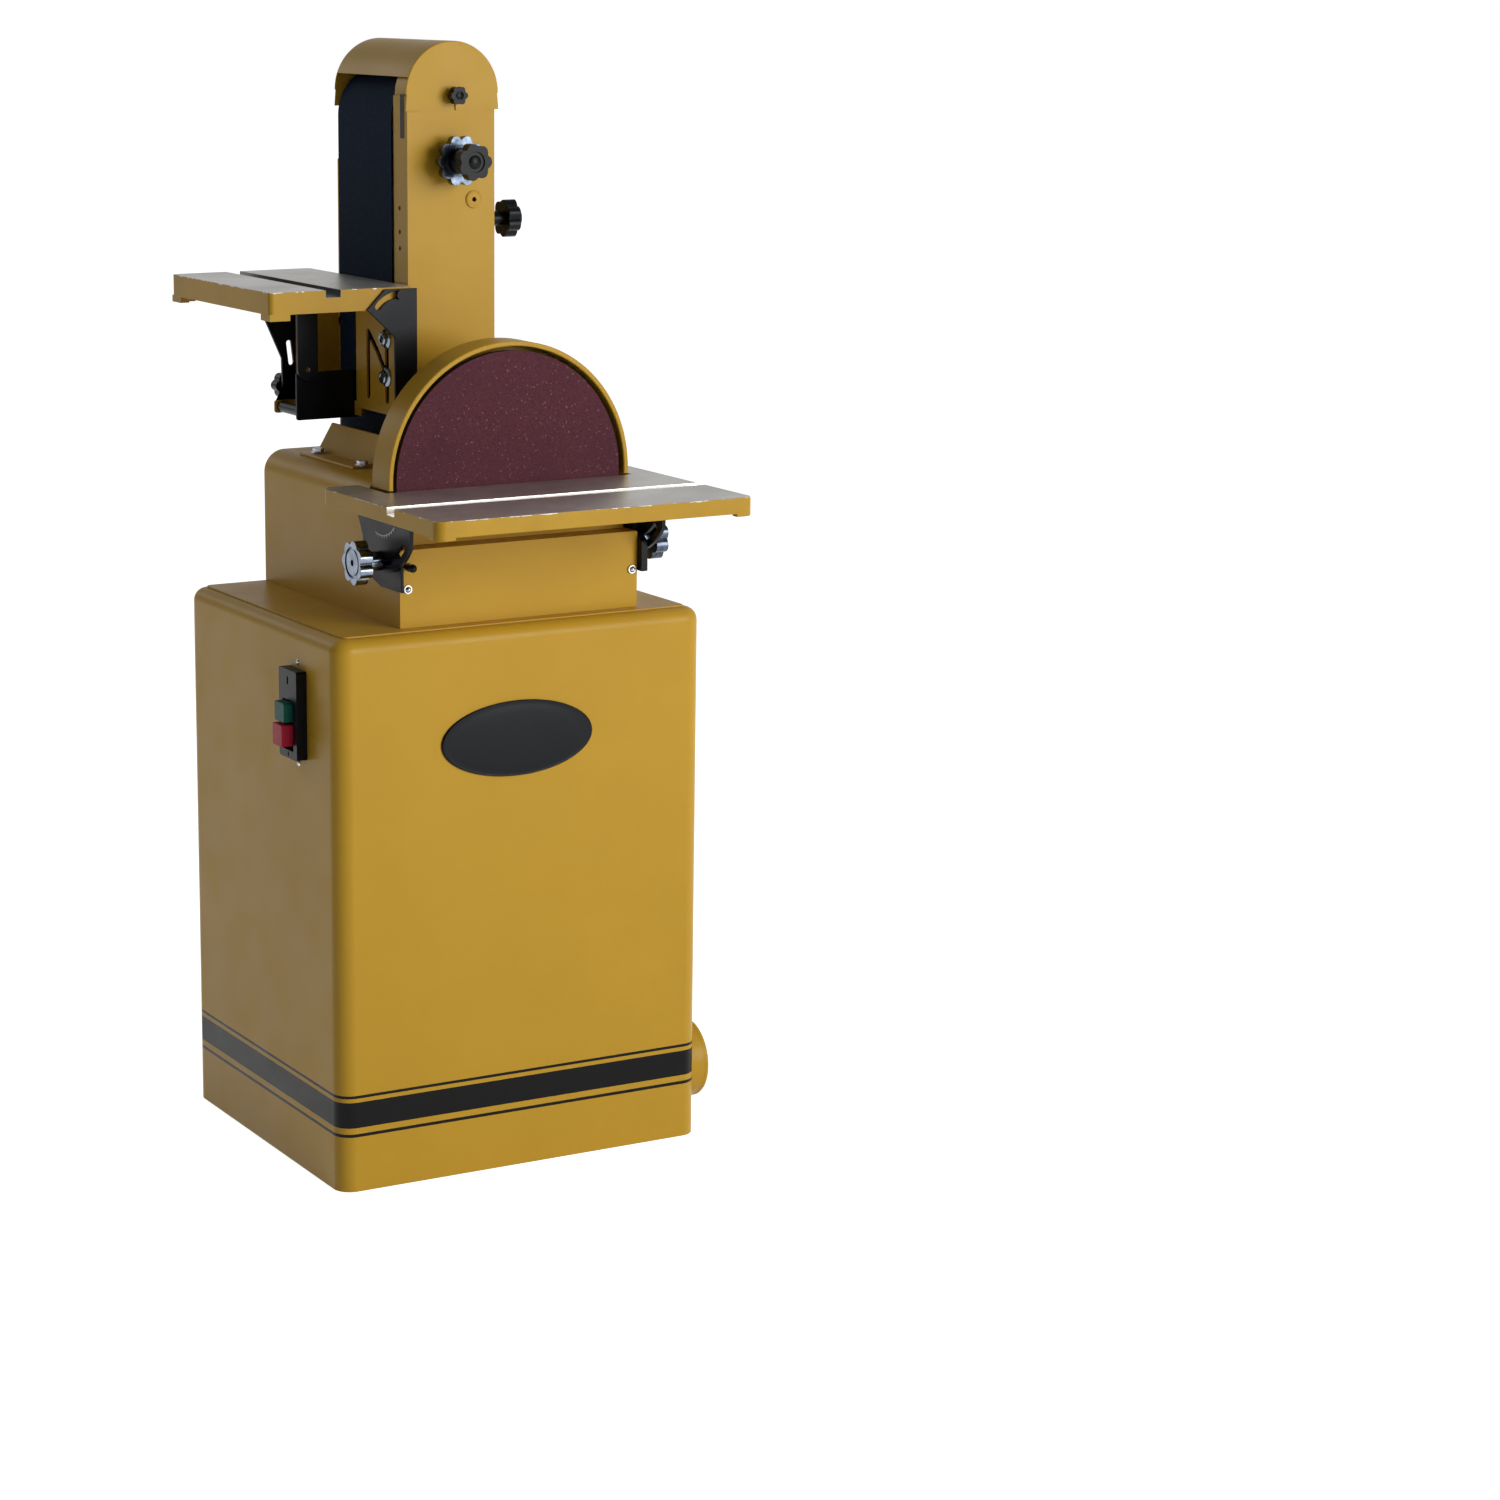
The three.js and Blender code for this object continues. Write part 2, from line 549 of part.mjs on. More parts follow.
// ---- belt column --------------------------------------------------------------------------------------
function makeColumn() {
  const { left, right, front, depth, wall, rear, rearWall, topCentre, topRadius } = column;
  const { x, z } = spindle;
  const half = (right - left) / 2;
  const face = (inset, zTop, rTop) => {
    const shape = new THREE.Shape();
    shape.absarc(x, zTop, rTop - inset, 0, Math.PI);
    shape.lineTo(left + inset, zTop);
    shape.absarc(x, z, half - inset, Math.PI, 2 * Math.PI);
    shape.lineTo(right - inset, zTop);
    return shape;
  };
  const coreX = [x - 44, x + 36];
  const coreZ = [945, 1100];
  const channel = cut(
    prism(face(0, topCentre, topRadius), "y", front, depth, 8),
    prism(face(wall, topCentre, topRadius), "y", front + wall, depth + 1, 8),
  );
  const plates = coreX.map((u) => box(u, u + 5, front + wall - 0.5, rear + 1, ...coreZ));
  const backPlate = prism(face(0, 1215, half), "y", rear, rear + rearWall, 8);
  const strip = 22;
  const frame = cut(
    join(channel, ...plates, backPlate, box(x - 18, x + 18, front + wall - 0.5, depth - 4, springSeat - 8, springSeat)),
    rod("y", x, z, 32 + runGap, front - 1, front + wall + 1, 14),
    rod("y", x, z, 30 + runGap, rear - 1, rear + rearWall + 1, 14),
    rod("y", x, idlerZ - 48, 7 + runGap, front - 1, front + wall + 1, 8),
    rod("y", 47, 1173, 3, front - 1, front + wall + 1, 8),
    rod("y", 18, topCentre, 3.4, front - 1, front + wall + 1, 6),
    rod("x", 19, 1147, 5 + gap, right - wall - 1, right + 1, 8),
    ...[1164, 1135, 1115].map((h) => rod("x", strip, h, 3, left - 1, left + wall + 1, 6)),
    ...[957, 1004.5].map((h) => rod("x", 24, h, 4.3, left - 1, left + wall + 1, 6)),
    rod("x", 60, 1020, 20, coreX[0] - 1, coreX[0] + 6, 8),
    rod("x", 60, 1020, 20, coreX[1] - 1, coreX[1] + 6, 8),
    // the return side of the back plate clears the drum's rim at the top
    box(-100, 100, rear - 1, rear + rearWall + 1, 1216, 1400),
  );
  place("column_frame", frame, finish.enamel);

  const platenFace = x - beltInner + gap;
  const platen = join(
    box(platenFace, platenFace + 8, belt.front + 2, belt.back - 2, 925, 1190),
    box(platenFace + 7, coreX[0], belt.front + 12, belt.front + 32, coreZ[0] + 5, coreZ[1] - 5),
    box(platenFace + 7, coreX[0], belt.back - 32, belt.back - 12, coreZ[0] + 5, coreZ[1] - 5),
  );
  place("platen", platen, finish.steel);

  const returnX = x + beltOuter + 2.5;
  const sheet = 1.5;
  const cover = cut(
    join(
      box(returnX, returnX + sheet, 14, rear, 945, 1275),
      box(right, returnX + 0.5, 14, 14 + sheet, 945, 1275),
      box(right - 8, returnX + 0.5, rear - sheet, rear, 945, 1200),
    ),
    box(right - 1, returnX + 3, 13, 19 + 9 + gap, 1147 - 9 - gap, 1147 + 9 + gap),
  );
  place("return_guard", cover, finish.enamel);
  place("abrasive_belt", cut(
    prism(capsule(x, z, beltOuter, idlerZ, beltOuter), "y", belt.front, belt.back, 10),
    prism(capsule(x, z, beltInner, idlerZ, beltInner), "y", belt.front - 1, belt.back + 1, 10)), finish.beltCloth);
  place("drive_drum", drum(z, spindle.radius + gap), finish.steel);

}

// ---- idler, tension and tracking ----------------------------------------------------------------------
const tensionZ = idlerZ - 48;

function makeIdler() {
  const { x } = spindle;
  const axle = 8;
  const travel = 6;
  const inside = column.front + column.wall;
  const block = cut(
    join(
      box(x - 24, x + 24, inside + runGap, column.depth - 2, tensionZ - 40, idlerZ + 20),
      rod("y", x, idlerZ, axle, inside + 1, belt.back - 6, 8),
    ),
    slot("y", [x, tensionZ], [x, tensionZ + travel + 0.5], 2 * (6 + runGap), 0, 60),
  );
  place("tension_block", block, finish.castIron);
  place("idler_drum", drum(idlerZ, axle + gap), finish.steel);

  const coil = { radius: 11, wire: 1.8, turns: 6, bottom: springSeat, top: tensionZ - 40 };
  const low = coil.bottom + coil.wire + gap;
  const high = coil.top - coil.wire - gap;
  class Helix extends THREE.Curve {
    getPoint(t, target = new THREE.Vector3()) {
      const angle = t * coil.turns * Math.PI * 2;
      return target.set(x + coil.radius * Math.cos(angle), 20 + coil.radius * Math.sin(angle), low + (high - low) * t);
    }
  }
  const spring = new THREE.ExtrudeGeometry(circle(0, 0, coil.wire), {
    steps: coil.turns * 8, bevelEnabled: false, extrudePath: new Helix(), curveSegments: 2 });
  place("tension_spring", orient(toSolid(spring)), finish.steel);

  const wheelFront = -29;
  const star = cut(
    join(
      prism(lobed(x, tensionZ, 31, 25.5, 10), "y", wheelFront, -18),
      rod("y", x, tensionZ, 12, -19, -gap, 8),
      rod("y", x, tensionZ, 6, -1, column.depth - 6, 8),
    ),
    rod("y", x, tensionZ, 18, wheelFront - 1, wheelFront + 4, 10),
    rod("y", x, tensionZ, 4 + gap, wheelFront - 1, -8, 6),
  );
  place("tension_wheel", star, finish.chrome);
  const knob = join(
    rod("y", x, tensionZ, 16.5, -52, wheelFront + 4 - gap, 10),
    prism(lobed(x, tensionZ, 22.5, 18.5, 7), "y", -66, -51),
    rod("y", x, tensionZ, 4, -30, -10, 6),
  );
  place("tension_lock_knob", cut(knob, rod("y", x, tensionZ, 9, -67, -62, 8)), finish.plastic);

  const y = 19;
  const h = 1147;
  const side = join(
    rod("x", y, h, 5, x + 30, 96, 6),
    rod("x", y, h, 9, column.right + gap, 95, 8),
    prism(lobed(y, h, 23.5, 19.5, 7), "x", 96, 112),
    rod("x", y, h, 15, 111, 120, 8),
  );
  place("tracking_knob", side, finish.plastic);
}

function makeCap() {
  const { radius, sheet, centreX, centreZ, bottom, leftEdge } = cap;
  const front = column.front - 0.5 - sheet;
  const back = column.rear + column.rearWall + 0.5 + sheet;
  const endPlate = (from) => join(
    rod("y", centreX, centreZ, radius, from, from + sheet, 16).intersect(box(-200, 200, from, from + sheet, centreZ, 1500)),
    box(centreX - radius, centreX + radius, from, from + sheet, bottom, centreZ + 0.1),
  );
  const wrap = cut(
    join(
      rod("y", centreX, centreZ, radius, front, back, 16),
      box(centreX, centreX + radius, front, back, bottom, centreZ),
    ),
    rod("y", centreX, centreZ, radius - sheet, front - 1, back + 1, 16),
    box(centreX - radius - 1, centreX + radius - sheet, front - 1, back + 1, bottom - 100, centreZ),
    box(centreX - radius - 1, centreX, front - 1, back + 1, bottom - 100, leftEdge),
    box(centreX, centreX + radius + 1, front - 1, back + 1, bottom - 100, bottom),
  );
  const cover = cut(
    join(endPlate(front), wrap, endPlate(back - sheet)),
    box(18 - 3.6, 18 + 3.6, front - 1, front + sheet + 1, bottom - 1, column.topCentre),
    rod("y", 18, column.topCentre, 3.6, front - 1, front + sheet + 1, 6),
  );
  place("top_cover", cover, finish.enamel);
  const knob = join(
    prism(lobed(18, column.topCentre, 11.5, 9, 6), "y", -20, -9),
    rod("y", 18, column.topCentre, 7, -9.5, front - gap, 8),
    rod("y", 18, column.topCentre, 3, -9.5, column.wall + 6, 6),
  );
  place("cover_knob", knob, finish.plastic);
}

// ---- belt table and its brackets ---------------------------------------------------------------------------
function makeBeltTable() {
  const { left, right, front, back, top, plate, apron, lip, lipWidth } = beltTable;
  const wall = 12;
  const bodyBottom = top - apron;
  const under = top - plate;
  const lips = [[front, front + wall], [back - wall, back]].map(([y0, y1]) =>
    box(left, left + lipWidth, y0, y1, top - lip, bodyBottom + 1));
  const sideLips = [[front, front + lipWidth], [back - lipWidth, back]].map(([y0, y1]) =>
    box(left, left + wall, y0, y1, top - lip, bodyBottom + 1));
  const lug = box(tilt.x - 11, tilt.x + 11, front, front + 10, tilt.z, under + 1);
  const table = cut(
    join(
      cut(prism(rounded(left, right, front, back, 6), "z", bodyBottom, top, 4),
        box(left + wall, right - wall, front + wall, back - wall, bodyBottom - 1, under)),
      ...lips, ...sideLips, lug,
      rod("y", tilt.x, tilt.z, 11, front, front + 10, 8),
    ),
    box(beltSlot.from, beltSlot.to, front - 1, back + 1, top - beltSlot.depth, top + 1),
    rod("y", tilt.x, tilt.z, 5 + gap, front - 1, front + 12, 8),
    rod("y", tilt.x + 1.2, tilt.z + tilt.arcRadius, 3.2 + gap, front - 1, front + 9, 6),
  );
  place("belt_table", table, finish.groundIron);

  const legX = tilt.x - 59;
  const leg = cut(
    join(box(legX - 14, legX + 14, 113.2, 117.7, 960.5, under), rod("y", legX, 960.5, 14, 113.2, 117.7, 10),
      box(legX - 14, legX + 14, 100, 117.7, under - 5, under)),
    rod("y", legX, 960.5, 3, 110, 120, 6),
  );
  place("tilt_arm_middle", leg, finish.blackPaint);

  const armFront = 206.3;
  const armBack = 210.3;
  const arm = cut(
    join(
      prism(outline([[-149, under], [-61, under], [-61, 1043], [-58, tilt.z], [-96, 1010], [-98, 930], [-121, 930], [-122, 966],
        [-149, 1026]]), "y", armFront, armBack),
      rod("y", tilt.x, tilt.z, 13, armFront, armBack, 8),
      rod("y", -109.5, 929, 12, armFront, armBack, 8),
      box(-149, -61, armFront - 14, armFront + 1, under - 5, under),
    ),
    rod("y", tilt.x, tilt.z, 5 + gap, armFront - 1, armBack + 1, 8),
    rod("y", -109.5, 929, 4 + gap, armFront - 1, armBack + 1, 6),
    slot("y", [-112, 985], [-109, 960], 7, armFront - 1, armBack + 1),
  );
  place("tilt_arm_rear", arm, finish.blackPaint);
  place("tilt_clamp_knob", join(
    prism(lobed(-109.5, 929, 17, 14, 6), "y", armBack + 6, armBack + 22),
    rod("y", -109.5, 929, 9, armBack + gap, armBack + 7, 8),
    rod("y", -109.5, 929, 4, armFront, armBack + 1, 6),
  ), finish.plastic);

  const bracketBack = front - runGap;
  const bracketFront = bracketBack - 3.5;
  const flangeX = column.left - gap;
  const rise = { bottom: 908, flange: 3.5 };
  const near = cut(
    join(
      prism(outline([[-88, 1070], [flangeX, 1070], [flangeX, rise.bottom], [-75, rise.bottom], [-75, 1011],
        [-112, 1046]]), "y", bracketFront, bracketBack),
      box(flangeX - rise.flange, flangeX, bracketFront, column.depth - 2, rise.bottom, 1035),
    ),
    arcSlot("y", [tilt.x, tilt.z], tilt.arcRadius, tilt.arcFrom, tilt.arcTo, 8, bracketFront - 1, bracketBack + 1),
    slot("x", [24, 929], [24, 1010], 9, flangeX - 10, flangeX + 1),
  );
  place("tilt_bracket", near.add(rod("y", tilt.x, tilt.z, 5, bracketFront, front + 10, 8)), finish.blackPaint);
  place("tilt_lock_bolt", join(
    rod("y", tilt.x + 1.2, tilt.z + tilt.arcRadius, 6, bracketFront - 5, bracketFront - gap, 8),
    rod("y", tilt.x + 1.2, tilt.z + tilt.arcRadius, 3.2, bracketFront - 1, front + 8, 6),
  ), finish.blackPaint);

  const sheetX = -62;
  const nPlate = cut(
    join(
      prism(rounded(0, 112, 910, 1034, 3), "x", sheetX, sheetX + 3, 3),
      box(sheetX, -49, 115, 118, 900, 918),
      box(sheetX, sheetX + 3, 100, 118, 900, 918),
    ),
    slot("x", [77, 930], [77, 1008], 10, sheetX - 1, sheetX + 4),
    slot("x", [24, 929], [24, 1010], 10.5, sheetX - 1, sheetX + 4),
    slot("x", [76, 1008], [52, 988], 9, sheetX - 1, sheetX + 4),
    slot("x", [52, 988], [24, 958], 9, sheetX - 1, sheetX + 4),
  );
  place("slotted_plate", nPlate, finish.enamel);
  const slotBolt = (h) => join(
    hex("x", 24, h, 12, sheetX - 8, sheetX - 2),
    rod("x", 24, h, 12.5, sheetX - 2.3, sheetX - gap, 12),
    rod("x", 24, h, 4, sheetX - 1, column.left + 8, 6),
    rod("x", 24, h, 6.5, sheetX + 3 + gap, flangeX - rise.flange - gap, 8),
  );
  const innerFace = column.left + column.wall;
  place("slot_bolts", join(
    slotBolt(1004.5),
    slotBolt(957),
    box(innerFace + gap, innerFace + 5, 15, 33, 945, 1017),
  ), finish.zinc);

  const barX = -125;
  const barZ = 905;
  const rearFront = 202.3;
  place("support_web", join(
    prism(rounded(-142, -49, 897, 957, 3), "y", 118, 122, 3),
    rod("y", barX, barZ, 7, 121, rearFront, 8),
  ), finish.blackPaint);
  place("rear_support", join(
    prism(outline([[-98, 897], [-20, 897], [-20, 1036], [-82, 1036], [-98, 1015]]), "y", rearFront, rearFront + 3.5),
    prism(rounded(-134, -90, 897, 913, 3), "y", rearFront, rearFront + 3.5, 3),
    rod("y", tilt.x, tilt.z, 5, rearFront + 1, armBack + 4, 8),
  ), finish.enamel);
}

// ---- disc table and its trunnions ---------------------------------------------------------------------------
function makeDiscTable() {
  const { left, right, front, back, top, plate, apron, lip, lipWidth } = discTable;
  const wall = 11;
  const bodyBottom = top - apron;
  const under = top - plate;
  const bayLeft = spindle.x - 168;
  const bayRight = spindle.x + 168;
  const edge = disc.face - 5;
  const pads = [[-178, bayLeft], [bayRight, bayRight + 14]].map(([x0, x1]) =>
    box(x0, x1, -238, back, bodyBottom, under + 1));
  const lips = [[left, left + lipWidth], [right - lipWidth, right]].map(([x0, x1]) =>
    box(x0, x1, front, front + wall, top - lip, bodyBottom + 1));
  const sideLips = [[left, left + wall], [right - wall, right]].map(([x0, x1]) =>
    box(x0, x1, front, front + lipWidth, top - lip, bodyBottom + 1));
  const table = cut(
    join(
      cut(prism(rounded(left, right, front, back, 12), "z", bodyBottom, top, 5),
        box(left + wall, right - wall, front + wall, edge - 34, bodyBottom - 1, under),
        box(left + wall, bayLeft - 2, edge - 40, back - wall, bodyBottom - 1, under),
        box(bayRight + 2, right - wall, edge - 40, back - wall, bodyBottom - 1, under)),
      ...pads, ...lips, ...sideLips,
    ),
    box(bayLeft, bayRight, edge, back + 1, bodyBottom - 20, top + 1),
    // the underside by the disc is cut back so that the table clears the disc when it tilts
    prism(outline([[edge + 1, top - 3], [edge + 1, top - 40], [edge - 46, top - 40]]), "x", bayLeft, bayRight),
    box(left - 1, right + 1, discSlot.from, discSlot.from + discSlot.width, top - discSlot.depth, top + 1),
  );
  place("disc_table", table.intersect(prism(rounded(left, right, front, back, 12), "z", 700, 900, 5)), finish.groundIron);

  // Quadrants hang from the table outside the housing; their arc slots run about the tilt axis.
  const axis = [trunnion.y, top];
  const studY = trunnion.y + 5;
  const studZ = top - trunnion.stud;
  const studAngle = THREE.MathUtils.radToDeg(Math.atan2(studZ - top, studY - trunnion.y));
  const reach = trunnion.stud + 13;
  const makeSide = (name, inner, outer, wallFace) => {
    const from = Math.min(inner, outer);
    const to = Math.max(inner, outer);
    const side = Math.sign(outer - inner);
    const leaf = new THREE.Shape();
    leaf.moveTo(trunnion.y + 74, bodyBottom);
    leaf.lineTo(trunnion.y + 50, top - 60);
    leaf.lineTo(trunnion.y + 22, top - 92);
    leaf.absarc(axis[0], axis[1], reach, -Math.PI * 0.44, -Math.PI * 0.79, true);
    leaf.lineTo(trunnion.y - 78, bodyBottom);
    const quadrant = cut(
      prism(leaf, "x", from, to, 8),
      arcSlot("x", axis, trunnion.stud, studAngle - trunnion.tiltMax - 3, studAngle + 2, trunnion.slot, from - 1, to + 1),
    );
    place("trunnion_quadrant_" + name, quadrant, finish.blackPaint);
    const near = inner - side * gap;
    const bracket = cut(
      prism(outline([[-197, 727], [-140, 727], [-92, 741], [-92, 790], [-178, 790], [-178, 778], [-197, 764]]),
        "x", Math.min(near, wallFace), Math.max(near, wallFace)),
      rod("x", studY, studZ, 4 + gap, Math.min(near, wallFace) - 1, Math.max(near, wallFace) + 1, 6),
    );
    place("trunnion_bracket_" + name, bracket, finish.blackPaint);
    const at = (distance) => outer + side * distance;
    const bar = (radius, a, b, segments) =>
      rod("x", studY, studZ, radius, Math.min(a, b), Math.max(a, b), segments);
    const knob = cut(
      join(
        bar(4, wallFace + side * gap, at(20), 6),
        bar(12, at(gap), at(22), 8),
        prism(lobed(studY, studZ, 27, 22, 7), "x", Math.min(at(21), at(37)), Math.max(at(21), at(37))),
      ),
      bar(19, at(34), at(38), 10),
      bar(4, at(30), at(38), 6),
    );
    place("table_clamp_" + name, knob, finish.chrome);
  };
  makeSide("left", bayLeft - 1, bayLeft - 1 - trunnion.plate, housing.left);
  makeSide("right", bayRight + 1, bayRight + 1 + trunnion.plate, housing.right);

  const face = housing.front - panel.thickness;
  const pin = join(
    rod("y", plunger.x, plunger.z, 2.9, face - 14, housing.front + 16, 6),
    rod("y", plunger.x, plunger.z, 5, face - 11, face - 6.5, 8),
    turned("y", plunger.x, plunger.z, [[0, face - 23], [3.2, face - 22], [5, face - 19], [5, face - 17],
      [3.2, face - 13.5], [0, face - 12.5]], 12),
  );
  place("stop_plunger", pin, finish.blackPaint);
}

function makeInlet() {
  const z = 120;
  place("cable_gland", cut(
    join(rod("y", -190, z, 10, halfD - 12, halfD + 1, 8), hex("y", -190, z, 26, halfD + gap, halfD + 8),
      rod("y", -190, z, 9, halfD + 7, halfD + 16, 8)),
    rod("y", -190, z, 5, halfD - 13, halfD + 17, 8)), finish.plastic);
}

makeCabinet();
makeDustWay();
makeSwitch();
makeMotor();
makeDrive();
makeHousing();
makeGuards();
makeSpindle();
makeColumn();
makeIdler();
makeCap();
makeBeltTable();
makeDiscTable();
makeInlet();

export default sander;
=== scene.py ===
import json
import math

import bmesh
import bpy
from mathutils import Matrix, Vector

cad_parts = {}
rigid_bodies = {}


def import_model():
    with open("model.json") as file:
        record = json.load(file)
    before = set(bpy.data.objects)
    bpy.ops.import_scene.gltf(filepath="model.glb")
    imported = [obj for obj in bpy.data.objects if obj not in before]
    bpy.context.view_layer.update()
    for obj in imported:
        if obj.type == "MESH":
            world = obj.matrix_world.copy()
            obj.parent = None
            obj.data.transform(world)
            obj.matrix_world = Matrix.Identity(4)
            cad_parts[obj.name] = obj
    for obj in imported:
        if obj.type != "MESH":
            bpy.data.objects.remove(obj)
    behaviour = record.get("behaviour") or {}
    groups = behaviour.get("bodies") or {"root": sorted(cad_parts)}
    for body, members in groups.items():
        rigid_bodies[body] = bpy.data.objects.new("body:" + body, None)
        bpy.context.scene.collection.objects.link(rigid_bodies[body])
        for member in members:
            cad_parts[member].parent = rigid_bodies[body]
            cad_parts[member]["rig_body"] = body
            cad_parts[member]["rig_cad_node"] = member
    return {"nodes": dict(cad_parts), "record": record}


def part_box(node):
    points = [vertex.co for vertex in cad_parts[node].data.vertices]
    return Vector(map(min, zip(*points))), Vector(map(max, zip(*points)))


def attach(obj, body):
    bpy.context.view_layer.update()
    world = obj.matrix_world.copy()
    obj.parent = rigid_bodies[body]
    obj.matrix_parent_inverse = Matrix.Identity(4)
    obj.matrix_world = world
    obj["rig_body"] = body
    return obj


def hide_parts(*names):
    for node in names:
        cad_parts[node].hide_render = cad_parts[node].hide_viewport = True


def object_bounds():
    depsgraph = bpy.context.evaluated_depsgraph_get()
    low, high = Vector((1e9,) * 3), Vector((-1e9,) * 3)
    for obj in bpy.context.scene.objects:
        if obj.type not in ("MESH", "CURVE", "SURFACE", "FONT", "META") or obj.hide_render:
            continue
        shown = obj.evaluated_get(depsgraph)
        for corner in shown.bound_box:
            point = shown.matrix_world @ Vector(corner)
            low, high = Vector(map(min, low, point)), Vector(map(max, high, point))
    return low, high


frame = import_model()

mm = 0.001
cadLow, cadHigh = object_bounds()
record = frame["record"]
print("frame loaded:", len(frame["nodes"]), "nodes")


# small tools

def deselectAll():
    if bpy.context.mode != "OBJECT":
        bpy.ops.object.mode_set(mode="OBJECT")
    bpy.ops.object.select_all(action="DESELECT")


def takeOnly(piece):
    deselectAll()
    piece.select_set(True)
    bpy.context.view_layer.objects.active = piece


def settle(piece):  # puts the place, turn and size into the mesh
    takeOnly(piece)
    bpy.ops.object.transform_apply(location=True, rotation=True, scale=True)


def spanOf(node):  # lowest and highest corner in millimetres
    low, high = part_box(node)
    return [v / mm for v in low], [v / mm for v in high]


def spot(axis, centre, station):  # a point in metres from its place across an axis and along it
    u, v = centre
    place = {"x": (station, u, v), "y": (u, station, v), "z": (u, v, station)}[axis]
    return Vector(place) * mm


axisTurn = {"x": (0, math.pi / 2, 0), "y": (math.pi / 2, 0, 0), "z": (0, 0, 0)}
axisWay = {"x": Vector((1, 0, 0)), "y": Vector((0, 1, 0)), "z": Vector((0, 0, 1))}


def addBlock(name, low, high):
    deselectAll()
    bpy.ops.mesh.primitive_cube_add(size=1, location=[(a + b) / 2 * mm for a, b in zip(low, high)])
    piece = bpy.context.active_object
    piece.name = name
    piece.scale = [(b - a) * mm for a, b in zip(low, high)]
    settle(piece)
    return piece


def addRod(name, axis, centre, radius, low, high, sides=48):
    deselectAll()
    bpy.ops.mesh.primitive_cylinder_add(
        vertices=sides, radius=radius * mm, depth=(high - low) * mm,
        location=spot(axis, centre, (low + high) / 2), rotation=axisTurn[axis])
    piece = bpy.context.active_object
    piece.name = name
    settle(piece)
    return piece


def startPoint(name, place):  # a plane merged to one vertex, ready to be drawn out
    deselectAll()
    bpy.ops.mesh.primitive_plane_add(size=mm, location=place)
    piece = bpy.context.active_object
    piece.name = name
    settle(piece)
    bpy.ops.object.mode_set(mode="EDIT")
    bpy.ops.mesh.select_mode(type="VERT")
    bpy.ops.mesh.select_all(action="SELECT")
    bpy.ops.mesh.merge(type="CENTER")
    return piece


def drawThrough(points):  # extrudes the selected vertex from point to point
    for here, there in zip(points, points[1:]):
        bpy.ops.mesh.extrude_region_move(TRANSFORM_OT_translate={"value": there - here})


def mendFaces():
    bpy.ops.mesh.select_all(action="SELECT")
    bpy.ops.mesh.remove_doubles(threshold=0.01 * mm)
    bpy.ops.mesh.normals_make_consistent(inside=False)
    bpy.ops.object.mode_set(mode="OBJECT")


def addTurned(name, axis, centre, profile, steps=64):
    # profile: (radius, station) pairs in millimetres, spun a full turn round the axis
    side = Vector((0, 1, 0)) if axis == "x" else Vector((1, 0, 0))
    points = [spot(axis, centre, station) + side * radius * mm for radius, station in profile]
    piece = startPoint(name, points[0])
    drawThrough(points)
    bpy.ops.mesh.select_all(action="SELECT")
    bpy.ops.mesh.spin(steps=steps, angle=2 * math.pi, center=spot(axis, centre, 0), axis=axisWay[axis])
    mendFaces()
    return piece


def addOutlined(name, axis, outline, low, high):
    # outline: points across the axis in millimetres, drawn round and pushed along the axis
    points = [spot(axis, point, low) for point in outline]
    piece = startPoint(name, points[0])
    drawThrough(points)
    bpy.ops.mesh.select_all(action="SELECT")
    bpy.ops.mesh.edge_face_add()
    bpy.ops.mesh.extrude_region_move(
        TRANSFORM_OT_translate={"value": axisWay[axis] * (high - low) * mm})
    mendFaces()
    return piece


def pick(piece, kind, test):  # leaves edit mode on with only the wanted edges or faces selected
    takeOnly(piece)
    bpy.ops.object.mode_set(mode="EDIT")
    bpy.ops.mesh.select_mode(type="EDGE" if kind == "edges" else "FACE")
    bpy.ops.mesh.select_all(action="DESELECT")
    sheet = bmesh.from_edit_mesh(piece.data)
    for part in getattr(sheet, kind):
        part.select = bool(test(part))
    sheet.select_flush_mode()
    bmesh.update_edit_mesh(piece.data)


def roundEdges(piece, test, radius, segments):
    pick(piece, "edges", test)
    bpy.ops.mesh.bevel(offset=radius * mm, segments=segments, affect="EDGES")
    bpy.ops.object.mode_set(mode="OBJECT")


def removeFaces(piece, test):
    pick(piece, "faces", test)
    bpy.ops.mesh.delete(type="FACE")
    bpy.ops.object.mode_set(mode="OBJECT")


def applyModifier(piece, kind, **settings):
    takeOnly(piece)
    change = piece.modifiers.new(kind, kind)
    for key, value in settings.items():
        setattr(change, key, value)
    bpy.ops.object.modifier_apply(modifier=change.name)


def thicken(piece, wall):  # a sheet gets its wall on the inner side
    applyModifier(piece, "SOLIDIFY", thickness=wall * mm, offset=-1, use_even_offset=True)


def combine(piece, how, *others):
    for other in others:
        applyModifier(piece, "BOOLEAN", operation=how, solver="EXACT", object=other)
        bpy.data.objects.remove(other)


def easeEdges(piece, width, segments=2, angle=35):
    applyModifier(piece, "BEVEL", width=width * mm, segments=segments, limit_method="ANGLE",
                  angle_limit=math.radians(angle), use_clamp_overlap=True)


def smooth(piece, angle=32):
    takeOnly(piece)
    bpy.ops.object.shade_smooth_by_angle(angle=math.radians(angle))


def fit(piece, body, slot, material, *nodes, angle=32):
    smooth(piece, angle)
    applyModifier(piece, "WEIGHTED_NORMAL", keep_sharp=True)  # large flat faces stay flat
    piece.data.materials.clear()
    piece.data.materials.append(material)
    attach(piece, body)
    if nodes:
        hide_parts(*nodes)


# finishes

def linear(colour):  # sRGB hex to linear RGBA
    parts = [int(colour[i:i + 2], 16) / 255 for i in (1, 3, 5)]
    return [c / 12.92 if c <= 0.04045 else ((c + 0.055) / 1.055) ** 2.4 for c in parts] + [1]


